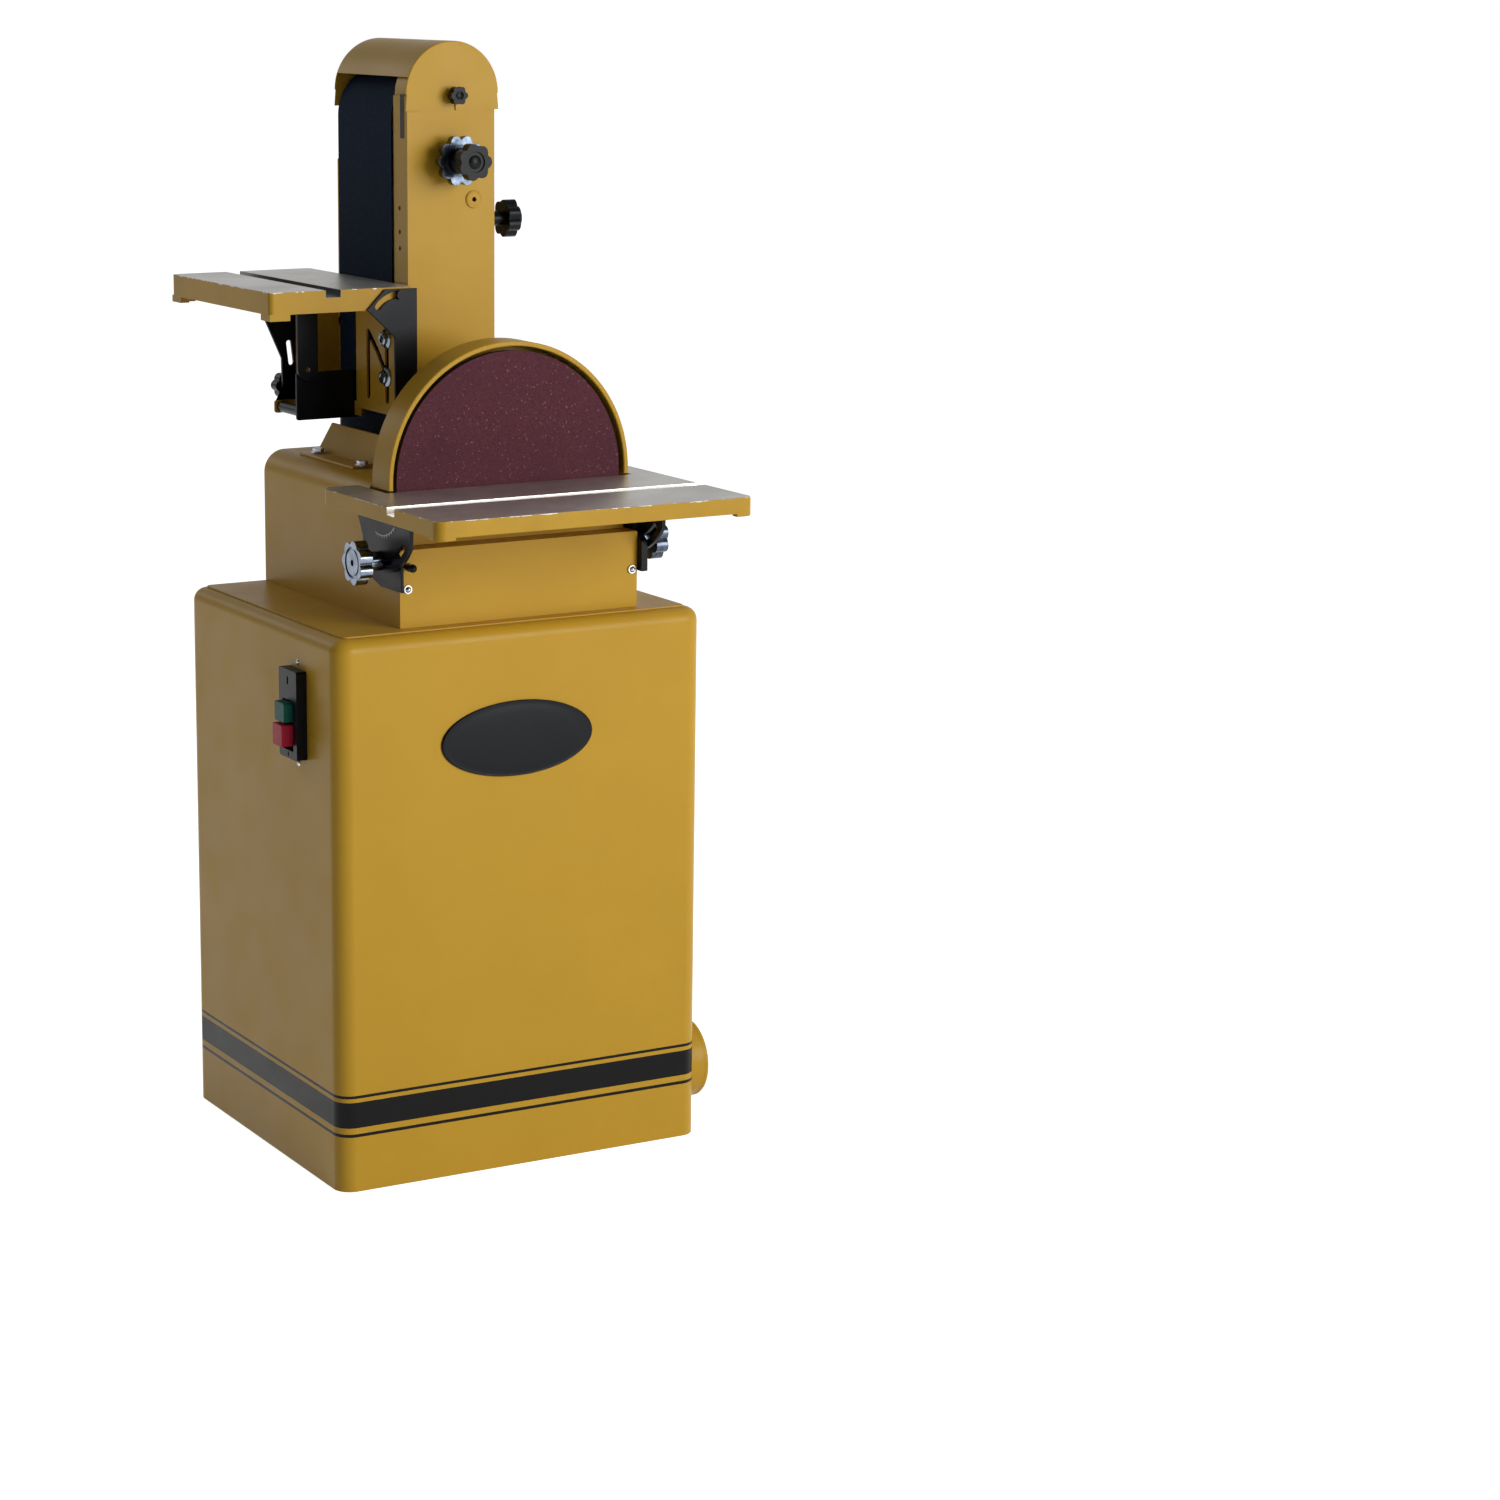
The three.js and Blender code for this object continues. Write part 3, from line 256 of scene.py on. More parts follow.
def addNode(tree, kind, sockets=None, **settings):
    node = tree.nodes.new(kind)
    for key, value in settings.items():
        setattr(node, key, value)
    for key, value in (sockets or {}).items():
        if isinstance(value, bpy.types.NodeSocket):
            tree.links.new(value, node.inputs[key])
        else:
            node.inputs[key].default_value = value
    return node


def startMaterial(name, **sockets):
    made = bpy.data.materials.new(name)
    made.use_nodes = True
    tree = made.node_tree
    shader = tree.nodes["Principled BSDF"]
    for key, value in sockets.items():
        shader.inputs[key.replace("_", " ")].default_value = value
    place = addNode(tree, "ShaderNodeTexCoord")
    return made, tree, shader, place


def noise(tree, place, size, detail=3.0, roughness=0.55, stretch=None):
    # size: width of one blotch in millimetres
    at = place.outputs["Object"]
    if stretch:
        at = addNode(tree, "ShaderNodeMapping", {"Vector": at, "Scale": stretch}).outputs[0]
    return addNode(tree, "ShaderNodeTexNoise", {
        "Vector": at, "Scale": 1000 / size, "Detail": detail, "Roughness": roughness}).outputs[0]


def ramp(tree, value, low, high, start, end):  # value from low..high to start..end, held at both ends
    return addNode(tree, "ShaderNodeMapRange", {
        0: value, 1: low, 2: high, 3: start, 4: end}).outputs[0]


def blend(tree, factor, first, second):
    mix = addNode(tree, "ShaderNodeMix", {0: factor}, data_type="RGBA")
    for index, colour in ((6, first), (7, second)):
        if isinstance(colour, bpy.types.NodeSocket):
            tree.links.new(colour, mix.inputs[index])
        else:
            mix.inputs[index].default_value = linear(colour)
    return mix.outputs[2]


def maths(tree, how, first, second):
    return addNode(tree, "ShaderNodeMath", {0: first, 1: second}, operation=how).outputs[0]


def bumpInto(tree, shader, height, depth, strength=1.0):  # depth in millimetres
    node = addNode(tree, "ShaderNodeBump", {
        "Height": height, "Distance": depth * mm, "Strength": strength})
    tree.links.new(node.outputs[0], shader.inputs["Normal"])


def within(tree, value, centre, half):  # 1 inside the band, in metres
    return addNode(tree, "ShaderNodeMath", {0: value, 1: centre * mm, 2: half * mm},
                   operation="COMPARE").outputs[0]


enamelColours = {"yellow": "#bb922c", "worn": "#ab8428", "black": "#0c0e12", "stripe": "#020203"}


def enamel(name, colour, worn, roughness, stripes=()):
    # sprayed gloss enamel on sheet steel: slight orange peel, faint cloudy gloss
    made, tree, shader, place = startMaterial(name, Specular_IOR_Level=0.14)
    cloud = noise(tree, place, 140, 4)
    paint = blend(tree, ramp(tree, cloud, 0.35, 0.7, 0, 0.3), colour, worn)
    fine = noise(tree, place, 1.3, 2)
    paint = blend(tree, ramp(tree, fine, 0.66, 0.74, 0, 0.22), paint, worn)
    if stripes:
        height = addNode(tree, "ShaderNodeSeparateXYZ", {0: place.outputs["Object"]}).outputs[2]
        band = within(tree, height, *stripes[0])
        for stripe in stripes[1:]:
            band = maths(tree, "ADD", band, within(tree, height, *stripe))
        paint = blend(tree, band, paint, enamelColours["stripe"])
    tree.links.new(paint, shader.inputs["Base Color"])
    smear = noise(tree, place, 60, 5)
    tree.links.new(ramp(tree, smear, 0.3, 0.75, roughness - 0.05, roughness + 0.09),
                   shader.inputs["Roughness"])
    bumpInto(tree, shader, noise(tree, place, 4.5, 2), 0.05)  # orange peel dimples are about 4 mm wide
    return made


def groundTable(name, top, slotAxis, slotLow, slotHigh, slotPaintedLight):
    # cast-iron table: surface-ground top with fine straight grinding lines, enamelled apron,
    # bright chips where the paint has broken away along the top edge, and slot walls in the slot
    # colour given per table, which paints shade into a dark slot and a highlight onto a bright one
    made, tree, shader, place = startMaterial(name, Specular_IOR_Level=0.14)
    at = addNode(tree, "ShaderNodeSeparateXYZ", {0: place.outputs["Object"]})
    facing = addNode(tree, "ShaderNodeSeparateXYZ", {0: place.outputs["Normal"]})
    across = at.outputs[slotAxis]
    inSlot = maths(tree, "MULTIPLY",
                   within(tree, across, (slotLow + slotHigh) / 2, (slotHigh - slotLow) / 2 + 0.3),
                   maths(tree, "GREATER_THAN", at.outputs[2], (top - 9.4) * mm))
    onTop = maths(tree, "MULTIPLY", maths(tree, "GREATER_THAN", facing.outputs[2], 0.5),
                  maths(tree, "GREATER_THAN", at.outputs[2], (top - 1.2) * mm))
    bare = maths(tree, "MAXIMUM", inSlot, onTop)
    nearTop = ramp(tree, at.outputs[2], (top - 5) * mm, (top - 0.6) * mm, 0, 1)
    chipNoise = noise(tree, place, 17, 3, 0.7)
    chips = maths(tree, "GREATER_THAN",
                  maths(tree, "MULTIPLY", nearTop, chipNoise), 0.52)
    chips = maths(tree, "MULTIPLY", chips, maths(tree, "SUBTRACT", 1.0, bare))
    grind = noise(tree, place, 9, 4, 0.7, stretch=(9, 0.5, 1) if slotAxis == 0 else (0.5, 9, 1))
    stain = noise(tree, place, 110, 5, 0.6)
    iron = blend(tree, ramp(tree, stain, 0.35, 0.7, 0, 1), "#e0deda", "#bbb7b0")
    iron = blend(tree, ramp(tree, grind, 0.35, 0.75, 0, 0.6), iron, "#eeece8")
    # slot walls take the slot colour: a dark painted shade in the belt table's slot, a bright painted
    # highlight in the disc table's slot
    iron = blend(tree, maths(tree, "MULTIPLY", inSlot, 0.85), iron, slotPaintedLight)
    paint = blend(tree, ramp(tree, noise(tree, place, 140, 4), 0.35, 0.7, 0, 1),
                  enamelColours["yellow"], enamelColours["worn"])
    paint = blend(tree, chips, paint, "#efece4")
    tree.links.new(blend(tree, bare, paint, iron), shader.inputs["Base Color"])
    tree.links.new(maths(tree, "MULTIPLY", bare, 0.9), shader.inputs["Metallic"])
    lines = ramp(tree, grind, 0.3, 0.8, 0.3, 0.46)
    tree.links.new(lines, shader.inputs["Roughness"])
    height = maths(tree, "ADD", maths(tree, "MULTIPLY", grind, bare), noise(tree, place, 4.5, 2))
    bumpInto(tree, shader, height, 0.04)
    return made


def machined(name, light, dark, roughness, size=6, metallic=1.0, depth=0.02, coarse=40):
    # turned, rolled or plated metal: fine tool marks and a cloudy shine
    made, tree, shader, place = startMaterial(name, Metallic=metallic)
    marks = noise(tree, place, size, 4, 0.65, stretch=(1, 6, 1))
    cloud = noise(tree, place, coarse, 4)
    colour = blend(tree, ramp(tree, cloud, 0.35, 0.7, 0, 1), light, dark)
    tree.links.new(colour, shader.inputs["Base Color"])
    tree.links.new(ramp(tree, marks, 0.3, 0.75, roughness - 0.06, roughness + 0.1),
                   shader.inputs["Roughness"])
    bumpInto(tree, shader, marks, depth)
    return made


def gritty(name, base, dark, light, grit, shine):
    # abrasive grain glued to cloth: coarse sharp grain, no gloss, single bright grains
    made, tree, shader, place = startMaterial(name, Roughness=0.88, Specular_IOR_Level=shine)
    cells = addNode(tree, "ShaderNodeTexVoronoi", {
        "Vector": place.outputs["Object"], "Scale": 1000 / grit, "Randomness": 1.0})
    tone = addNode(tree, "ShaderNodeSeparateColor", {0: cells.outputs["Color"]}).outputs[0]
    colour = blend(tree, ramp(tree, tone, 0.25, 1, 0, 1), base, dark)
    colour = blend(tree, maths(tree, "GREATER_THAN", tone, 0.985), colour, light)
    cloud = noise(tree, place, 55, 4)
    colour = blend(tree, ramp(tree, cloud, 0.4, 0.75, 0, 0.45), colour, dark)
    tree.links.new(colour, shader.inputs["Base Color"])
    bumpInto(tree, shader, cells.outputs["Distance"], 0.25)
    return made


def moulded(name, colour, dull, roughness, size=1.1, depth=0.02):
    # injection-moulded plastic or rubber: fine matt grain, faint flow marks
    made, tree, shader, place = startMaterial(name, Specular_IOR_Level=0.13)
    flow = noise(tree, place, 18, 3)
    tree.links.new(blend(tree, ramp(tree, flow, 0.35, 0.7, 0, 1), colour, dull), shader.inputs["Base Color"])
    grain = noise(tree, place, size, 2)
    gloss = ramp(tree, grain, 0.3, 0.7, roughness - 0.05, roughness + 0.08)
    tree.links.new(gloss, shader.inputs["Roughness"])
    bumpInto(tree, shader, grain, depth)
    return made


stripeBands = [(71.2, 2.0), (96.9, 16.1), (119.8, 1.8)]  # height and half width of each painted band

finish = {
    "yellowEnamel": enamel("yellowEnamel", enamelColours["yellow"], enamelColours["worn"], 0.33),
    "cabinetEnamel": enamel("cabinetEnamel", enamelColours["yellow"], enamelColours["worn"], 0.33,
                            stripeBands),
    "blackEnamel": enamel("blackEnamel", enamelColours["black"], "#131821", 0.34),
    "castIron": machined("castIron", "#4b4d50", "#37393c", 0.6, 3, 0.8, 0.06),
    "turnedSteel": machined("turnedSteel", "#a6a7a8", "#8b8c8e", 0.36),
    "zincPlate": machined("zincPlate", "#c9cdd2", "#a9afb6", 0.28, 2, 1, 0.01, 12),
    # chromePlate is darkened and tinted blue as a painted reflection of dark blue surroundings
    "chromePlate": machined("chromePlate", "#8a94a3", "#5f6977", 0.17, 2, 1, 0.004, 14),
    # a darker, bluer copy of chromePlate: painted shade on the right table clamp, painted dark reflection on
    # the tension wheel
    "chromePaintedShade": machined("chromePaintedShade", "#59626f", "#2c323b", 0.22, 2, 1, 0.01, 10),
    "discPaper": gritty("aluminiumOxideDisc", "#5a313a", "#4a272f", "#7d555c", 1.5, 0.15),
    "beltCloth": gritty("aluminiumOxideBelt", "#0d1f33", "#081627", "#1c3350", 1.5, 0.12),
    "rubber": moulded("driveBeltRubber", "#1b1b1c", "#232324", 0.8),
    "blackPlastic": moulded("phenolicPlastic", "#07080a", "#0d1015", 0.3),
    "greenPlastic": moulded("greenButtonPlastic", "#0f5a4c", "#0c4a42", 0.38),
    "redPlastic": moulded("redButtonPlastic", "#b3203a", "#9c1b33", 0.38),
    "whitePaint": enamel("whitePaint", "#e6e6e2", "#cfcfca", 0.5),
    "motorPaint": enamel("motorPaint", "#2d3136", "#25282c", 0.45),
    # belt table slot colour #2b2b2c is painted shade; disc table slot colour #e9e6df is a painted highlight
    "beltTableIron": groundTable("beltTableIron", 1072, 0, -165.6, -145.8, "#2b2b2c"),
    "discTableIron": groundTable("discTableIron", 842, 1, -277, -258, "#e9e6df"),
}
print("finishes made:", len(finish))

finishOf = {
    "yellowEnamel": [
        "floor_pan", "base_plate", "rear_access_panel", "dust_port", "pedestal_housing", "front_panel",
        "pulley_cover", "disc_guard", "lower_belt_guard", "column_frame", "return_guard", "top_cover",
        "slotted_plate", "rear_support"],
    "cabinetEnamel": ["cabinet_shell"],
    "blackEnamel": [
        "tilt_lock_bolt", "switch_plate", "trunnion_bracket_left", "trunnion_bracket_right",
        "tilt_bracket", "support_web",
        "tilt_arm_middle", "tilt_arm_rear", "trunnion_quadrant_left", "trunnion_quadrant_right"],
    "castIron": ["spindle_housing", "spindle_bracket_rear", "spindle_pulley", "motor_pulley", "disc_plate",
                 "tension_block"],
    "turnedSteel": ["motor_shelf", "motor_shaft", "bearing_front", "bearing_rear", "spindle_shaft",
                    "drive_drum", "idler_drum", "platen", "tension_spring", "dust_chute", "stop_plunger"],
    "zincPlate": ["slot_bolts"],
    "chromePlate": ["tension_wheel", "table_clamp_left", "table_clamp_right"],
    "discPaper": ["abrasive_disc"],
    "beltCloth": ["abrasive_belt"],
    "rubber": ["drive_belt"],
    "blackPlastic": ["switch_box", "cable_gland", "tension_lock_knob", "tracking_knob", "cover_knob",
                     "tilt_clamp_knob"],
    "greenPlastic": ["start_button"],
    "redPlastic": ["stop_button"],
    "motorPaint": ["motor_body"],
    "beltTableIron": ["belt_table"],
    "discTableIron": ["disc_table"],
}
for key, nodes in finishOf.items():
    for node in nodes:
        data = frame["nodes"][node].data
        data.materials.clear()
        data.materials.append(finish[key])
bare = set(frame["nodes"]) - {node for nodes in finishOf.values() for node in nodes}
print("nodes without a finish:", sorted(bare))

bodyOf = {node: body for body, nodes in record["behaviour"]["bodies"].items() for node in nodes}
slotOf = {
    "yellowEnamel": "yellow_enamel", "cabinetEnamel": "yellow_enamel", "blackEnamel": "black_enamel",
    "castIron": "raw_iron", "turnedSteel": "machined_steel", "zincPlate": "zinc_plate",
    "chromePlate": "knob_chrome", "chromePaintedShade": "knob_chrome", "discPaper": "disc_abrasive",
    "beltCloth": "belt_abrasive", "rubber": "drive_rubber", "blackPlastic": "black_plastic",
    "greenPlastic": "start_green", "redPlastic": "stop_red", "motorPaint": "motor_enamel",
    "whitePaint": "zinc_plate",
    "beltTableIron": "ground_iron", "discTableIron": "ground_iron"}


def fitNode(piece, node, key, angle=32):  # a modelled piece that stands for one node
    fit(piece, bodyOf[node], slotOf[key], finish[key], node, angle=angle)


def fitExtra(piece, body, key, angle=32):  # a modelled piece that is only detail
    fit(piece, body, slotOf[key], finish[key], angle=angle)


# pressed and cast pieces that keep the frame's shape, with their edges eased

easedNodes = {
    0.4: ["rear_access_panel", "front_panel", "pulley_cover", "lower_belt_guard", "return_guard",
          "base_plate", "slotted_plate", "switch_plate", "cable_gland"],
    0.8: ["pedestal_housing", "column_frame", "trunnion_bracket_left", "trunnion_bracket_right",
          "tilt_bracket", "support_web", "rear_support", "tilt_arm_middle", "tilt_arm_rear",
          "trunnion_quadrant_left", "trunnion_quadrant_right", "start_button", "stop_button"],
    1.0: ["belt_table", "disc_table"],
}


def titled(node):
    first, *rest = node.split("_")
    return first + "".join(word.capitalize() for word in rest)


def easedCopy(node, width, key):
    piece = frame["nodes"][node].copy()
    piece.data = piece.data.copy()
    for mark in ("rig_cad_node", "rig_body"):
        del piece[mark]
    piece.parent = None
    piece.name = titled(node)
    bpy.context.scene.collection.objects.link(piece)
    takeOnly(piece)
    bpy.ops.object.mode_set(mode="EDIT")
    bpy.ops.mesh.select_all(action="SELECT")
    bpy.ops.mesh.customdata_custom_splitnormals_clear()
    bpy.ops.mesh.remove_doubles(threshold=0.005 * mm)
    bpy.ops.mesh.dissolve_limited(angle_limit=math.radians(0.5))
    bpy.ops.object.mode_set(mode="OBJECT")
    easeEdges(piece, width)
    fitNode(piece, node, key)
    return piece


for width, nodes in easedNodes.items():
    for node in nodes:
        key = next(k for k, names in finishOf.items() if node in names)
        easedCopy(node, width, key)
print("eased pieces made")


# cabinet

cabinet = {"corner": 22, "roll": 16.6, "wall": 3, "hatch": (-150, 150, 150, 560),
           "port": (-162, 83, 49.3), "switch": (-132, -94, 534.5, 618.5), "gland": (-190, 120, 10.3),
           "deck": (-100, 140, -66, -28), "chute": (-138, 166, -178, -104)}


def makeCabinet():
    low, high = spanOf("cabinet_shell")
    top = high[2] * mm
    shell = addBlock("cabinetShell", low, high)
    roundEdges(shell, lambda e: abs(e.verts[0].co.z - e.verts[1].co.z) > 0.1, cabinet["corner"], 8)
    roundEdges(shell, lambda e: min(v.co.z for v in e.verts) > top - mm / 2, cabinet["roll"], 9)
    removeFaces(shell, lambda f: f.normal.z < -0.9)
    thicken(shell, cabinet["wall"])
    left, right, bottom, upper = cabinet["hatch"]
    holes = [addBlock("hatch", (left, high[1] - 8, bottom), (right, high[1] + 5, upper))]
    y, z, radius = cabinet["port"]
    holes.append(addRod("port", "x", (y, z), radius, high[0] - 20, high[0] + 5))
    front, back, bottom, upper = cabinet["switch"]
    holes.append(addBlock("switch", (low[0] - 5, front, bottom), (low[0] + 8, back, upper)))
    x, z, radius = cabinet["gland"]
    holes.append(addRod("gland", "y", (x, z), radius, high[1] - 8, high[1] + 5, 24))
    for place in ("deck", "chute"):
        left, right, front, back = cabinet[place]
        holes.append(addBlock(place, (left, front, high[2] - 8), (right, back, high[2] + 5)))
    combine(shell, "DIFFERENCE", *holes)
    fitNode(shell, "cabinet_shell", "cabinetEnamel")


def makeDustPort():
    low, high = spanOf("dust_port")
    y, z, _ = cabinet["port"]
    inner, outer = 45, (high[2] - low[2]) / 2
    end = high[0]
    spout = addTurned("dustPort", "x", (y, z), [
        (inner, low[0]), (outer - 1.2, low[0]), (outer - 1.2, end - 6), (outer, end - 4.6),
        (outer, end - 1.4), (outer - 0.9, end), (inner + 1.2, end), (inner, end - 1.4), (inner, low[0])])
    fitNode(spout, "dust_port", "yellowEnamel", 50)


makeCabinet()
makeDustPort()
print("cabinet made")


# disc and its guard

discParts = {"inner": 158, "plate": 5, "skirt": 130, "skirtBottom": 776.3, "hub": 58, "hubHole": 46,
             "hubBack": -92}


def makeDisc():
    low, high = spanOf("abrasive_disc")
    radius = (high[0] - low[0]) / 2
    centre = ((high[0] + low[0]) / 2, (high[2] + low[2]) / 2)
    paper = addTurned("abrasiveDisc", "y", centre, [
        (0, low[1]), (radius - 0.4, low[1]), (radius, low[1] + 0.4), (radius, high[1]), (0, high[1])], 128)
    fitNode(paper, "abrasive_disc", "discPaper")

    low, high = spanOf("disc_guard")
    outer = (high[0] - low[0]) / 2
    inner, back = discParts["inner"], -109
    front, wall = low[1], back - discParts["plate"]
    rimBottom = 843.5
    hole, hub = discParts["hubHole"], discParts["hub"]
    guard = addTurned("discGuard", "y", centre, [
        (hole, wall), (inner, wall), (inner, front + 1), (inner + 1, front), (outer - 1, front),
        (outer, front + 1), (outer, back - 1.5), (outer - 1.5, back), (hub, back),
        (hub, discParts["hubBack"]), (hole, discParts["hubBack"]), (hole, wall)], 128)
    trim = addBlock("trim", (-400, front - 10, 500), (400, wall + 0.01, rimBottom))
    sides = [addBlock("side", (x - 100, front - 10, 500), (x + 100, back + 0.01, rimBottom))
             for x in (centre[0] - discParts["skirt"] - 100, centre[0] + discParts["skirt"] + 100)]
    under = addBlock("under", (-400, front - 10, 500), (400, back + 0.01, discParts["skirtBottom"]))
    combine(guard, "DIFFERENCE", trim, under, *sides)
    fitNode(guard, "disc_guard", "yellowEnamel")


makeDisc()
print("disc made")


# belt and cap

def arc(centre, radius, start, end, steps):
    turn = [math.radians(start + (end - start) * i / steps) for i in range(steps + 1)]
    return [(centre[0] + radius * math.cos(a), centre[1] + radius * math.sin(a)) for a in turn]


capParts = {"sheet": 1.5, "radius": 63.5, "centre": (17, 1302), "leftEdge": 1323, "slotHalf": 3.6,
            "slotTop": (18, 1300)}


def makeBelt():
    low, high = spanOf("abrasive_belt")
    radius = (high[0] - low[0]) / 2
    x = (high[0] + low[0]) / 2
    outline = (arc((x, high[2] - radius), radius, 0, 180, 40)
               + arc((x, low[2] + radius), radius, 180, 360, 40))
    belt = addOutlined("abrasiveBelt", "y", outline, low[1], high[1])
    removeFaces(belt, lambda f: abs(f.normal.y) > 0.9)
    thicken(belt, 1.5)
    fitNode(belt, "abrasive_belt", "beltCloth")


def makeCap():
    low, high = spanOf("top_cover")
    cx, cz = capParts["centre"]
    radius = capParts["radius"]
    edge = capParts["leftEdge"] * mm
    outline = arc((cx, cz), radius, 0, 180, 48)
    outline = [(cx + radius, low[2])] + outline + [(cx - radius, low[2])]
    cap = addOutlined("topCover", "y", outline, low[1], high[1])
    removeFaces(cap, lambda f: f.normal.z < -0.9)
    roundEdges(cap, lambda e: abs(e.verts[0].co.y - e.verts[1].co.y) < 1e-6
               and min(v.co.z for v in e.verts) > (cz - 0.5) * mm, 1.6, 3)
    pick(cap, "faces", lambda f: True)
    bpy.ops.mesh.bisect(plane_co=(0, 0, edge), plane_no=(0, 0, 1))
    bpy.ops.object.mode_set(mode="OBJECT")
    removeFaces(cap, lambda f: abs(f.normal.y) < 0.3 and f.calc_center_median().x < cx * mm
                and f.calc_center_median().z < edge)
    thicken(cap, capParts["sheet"])
    sx, sz = capParts["slotTop"]
    half = capParts["slotHalf"]
    cutter = addOutlined("slot", "y", arc((sx, sz), half, 0, 180, 12) + [(sx - half, low[2] - 5),
                         (sx + half, low[2] - 5)], low[1] - 5, low[1] + 6)
    combine(cap, "DIFFERENCE", cutter)
    fitNode(cap, "top_cover", "yellowEnamel")


makeBelt()
makeCap()
print("belt and cap made")


# knobs

def addStar(name, axis, centre, star):
    # lobed rim with a stepped face; near and far are stations, far is the outer face
    near, far = star["near"], star["far"]
    rim = addRod(name, axis, centre, star["outer"], min(near, far), max(near, far), star["lobes"] * 14)
    way = axisWay[axis] * (1 if far > near else -1)
    edge = star["outer"]
    for ring, depth in star["rings"]:
        inset = edge - ring
        edge = ring
        pick(rim, "faces", lambda f: f.normal.dot(way) > 0.9 and len(f.verts) > 20)
        bpy.ops.mesh.inset(thickness=inset * mm)
        bpy.ops.mesh.extrude_region_move(TRANSFORM_OT_translate={"value": way * depth * mm})
        bpy.ops.object.mode_set(mode="OBJECT")
    middle = spot(axis, centre, 0)
    biggest = star["rings"][0][0]
    takeOnly(rim)
    bpy.ops.object.mode_set(mode="EDIT")
    sheet = bmesh.from_edit_mesh(rim.data)
    for vert in sheet.verts:
        out = vert.co - middle
        along = axisWay[axis] * out.dot(axisWay[axis])
        flat = out - along
        if flat.length > (biggest + 0.3) * mm:
            u, v = [c for i, c in enumerate(flat) if axisWay[axis][i] == 0]
            wave = 0.5 + 0.5 * math.cos(star["lobes"] * math.atan2(v, u))
            radius = star["root"] + (star["outer"] - star["root"]) * math.sqrt(wave)
            vert.co = middle + along + flat.normalized() * radius * mm
    bmesh.update_edit_mesh(rim.data)
    bpy.ops.object.mode_set(mode="OBJECT")
    easeEdges(rim, star["ease"], 3, 50)
    return rim


def makeKnob(name, axis, centre, star, hub, body, key, node):
    rim = addStar(name, axis, centre, star)
    stem = addTurned("stem", axis, centre, hub, 48)
    combine(rim, "UNION", stem)
    fit(rim, body, slotOf[key], finish[key], node, angle=40)


tensionWheel = {"lobes": 10, "outer": 31, "root": 25.5, "near": -18, "far": -29,
                "rings": [(20, 0), (18, -4)], "ease": 1.4}
tensionHub = [(0, -24.5), (12, -24.5), (12, -1.3), (11, -0.3), (6, -0.3), (6, 32), (0, 32)]
lockKnob = {"lobes": 7, "outer": 22.5, "root": 18.5, "near": -51, "far": -66,
            "rings": [(14, 0), (12.5, -2.2)], "ease": 2.0}
lockHub = [(0, -66), (5, -65.4), (8, -64.2), (10, -62.5), (10, -52), (13, -51), (16, -48), (16.5, -44),
           (16.5, -26.3), (15.5, -25.3), (4, -25.3), (4, -10), (0, -10)]
trackingKnob = {"lobes": 7, "outer": 23.5, "root": 19.5, "near": 96, "far": 112,
                "rings": [(17, 0)], "ease": 2.2}
trackingHub = [(0, 120), (8, 119.6), (13, 118), (15, 115), (15.4, 111), (15, 100), (9, 95), (9, 77.5),
               (8, 76.3), (5, 76.3), (5, 46), (0, 46)]
coverKnob = {"lobes": 6, "outer": 11.5, "root": 9, "near": -9, "far": -20, "rings": [(6.5, 0), (5.5, -1.2)],
             "ease": 1.1}
coverHub = [(0, -19.4), (3, -19.2), (4.4, -18.4), (4.4, -10), (7, -9.3), (7, -2.3), (3, -2.3), (3, 9), (0, 9)]
tiltKnob = {"lobes": 6, "outer": 17, "root": 14, "near": 216.3, "far": 232.3, "rings": [(10, 0), (9, -2)],
            "ease": 1.6}
tiltHub = [(0, 232), (5, 231.4), (7, 230), (7, 217), (9, 216.5), (9, 211.6), (8, 210.6), (4, 210.6), (4, 206),
           (0, 206)]
clampStar = {"lobes": 7, "outer": 27, "root": 22, "rings": [(20.2, 0), (19, -2.2), (16.6, 0), (15.6, 1.8),
                                                            (5.2, 0), (4, -5)], "ease": 1.6}


def makeKnobs():
    x = (spanOf("tension_wheel")[0][0] + spanOf("tension_wheel")[1][0]) / 2
    makeKnob("tensionWheel", "y", (x, 1222), tensionWheel, tensionHub, "tension_wheel", "chromePaintedShade",
             "tension_wheel")
    makeKnob("tensionLockKnob", "y", (x, 1222), lockKnob, lockHub, "tension_lock", "blackPlastic",
             "tension_lock_knob")
    makeKnob("trackingKnob", "x", (19, 1147), trackingKnob, trackingHub, "tracking_knob", "blackPlastic",
             "tracking_knob")
    makeKnob("coverKnob", "y", (18, 1300), coverKnob, coverHub, "cover_knob", "blackPlastic", "cover_knob")
    makeKnob("tiltClampKnob", "y", (-109.5, 929), tiltKnob, tiltHub, "tilt_clamp", "blackPlastic",
             "tilt_clamp_knob")
    for side, hand in (("left", -1), ("right", 1)):
        low, high = spanOf("table_clamp_" + side)
        wall, end = (high[0], low[0]) if hand < 0 else (low[0], high[0])
        star = dict(clampStar, near=end - hand * 16, far=end)
        seat = end - hand * 37
        hub = [(0, end - hand * 10), (11, end - hand * 10), (12, end - hand * 17), (12, seat + hand * 1.3),
               (11, seat + hand * 0.3), (4, seat + hand * 0.3), (4, wall), (0, wall)]
        # the far right clamp gets the darker chrome copy as painted shade; the left clamp keeps the lit one
        key = "chromePlate" if hand < 0 else "chromePaintedShade"
        makeKnob("tableClamp" + side.capitalize(), "x", (-150, 760), star, hub, "clamp_" + side, key,
                 "table_clamp_" + side)


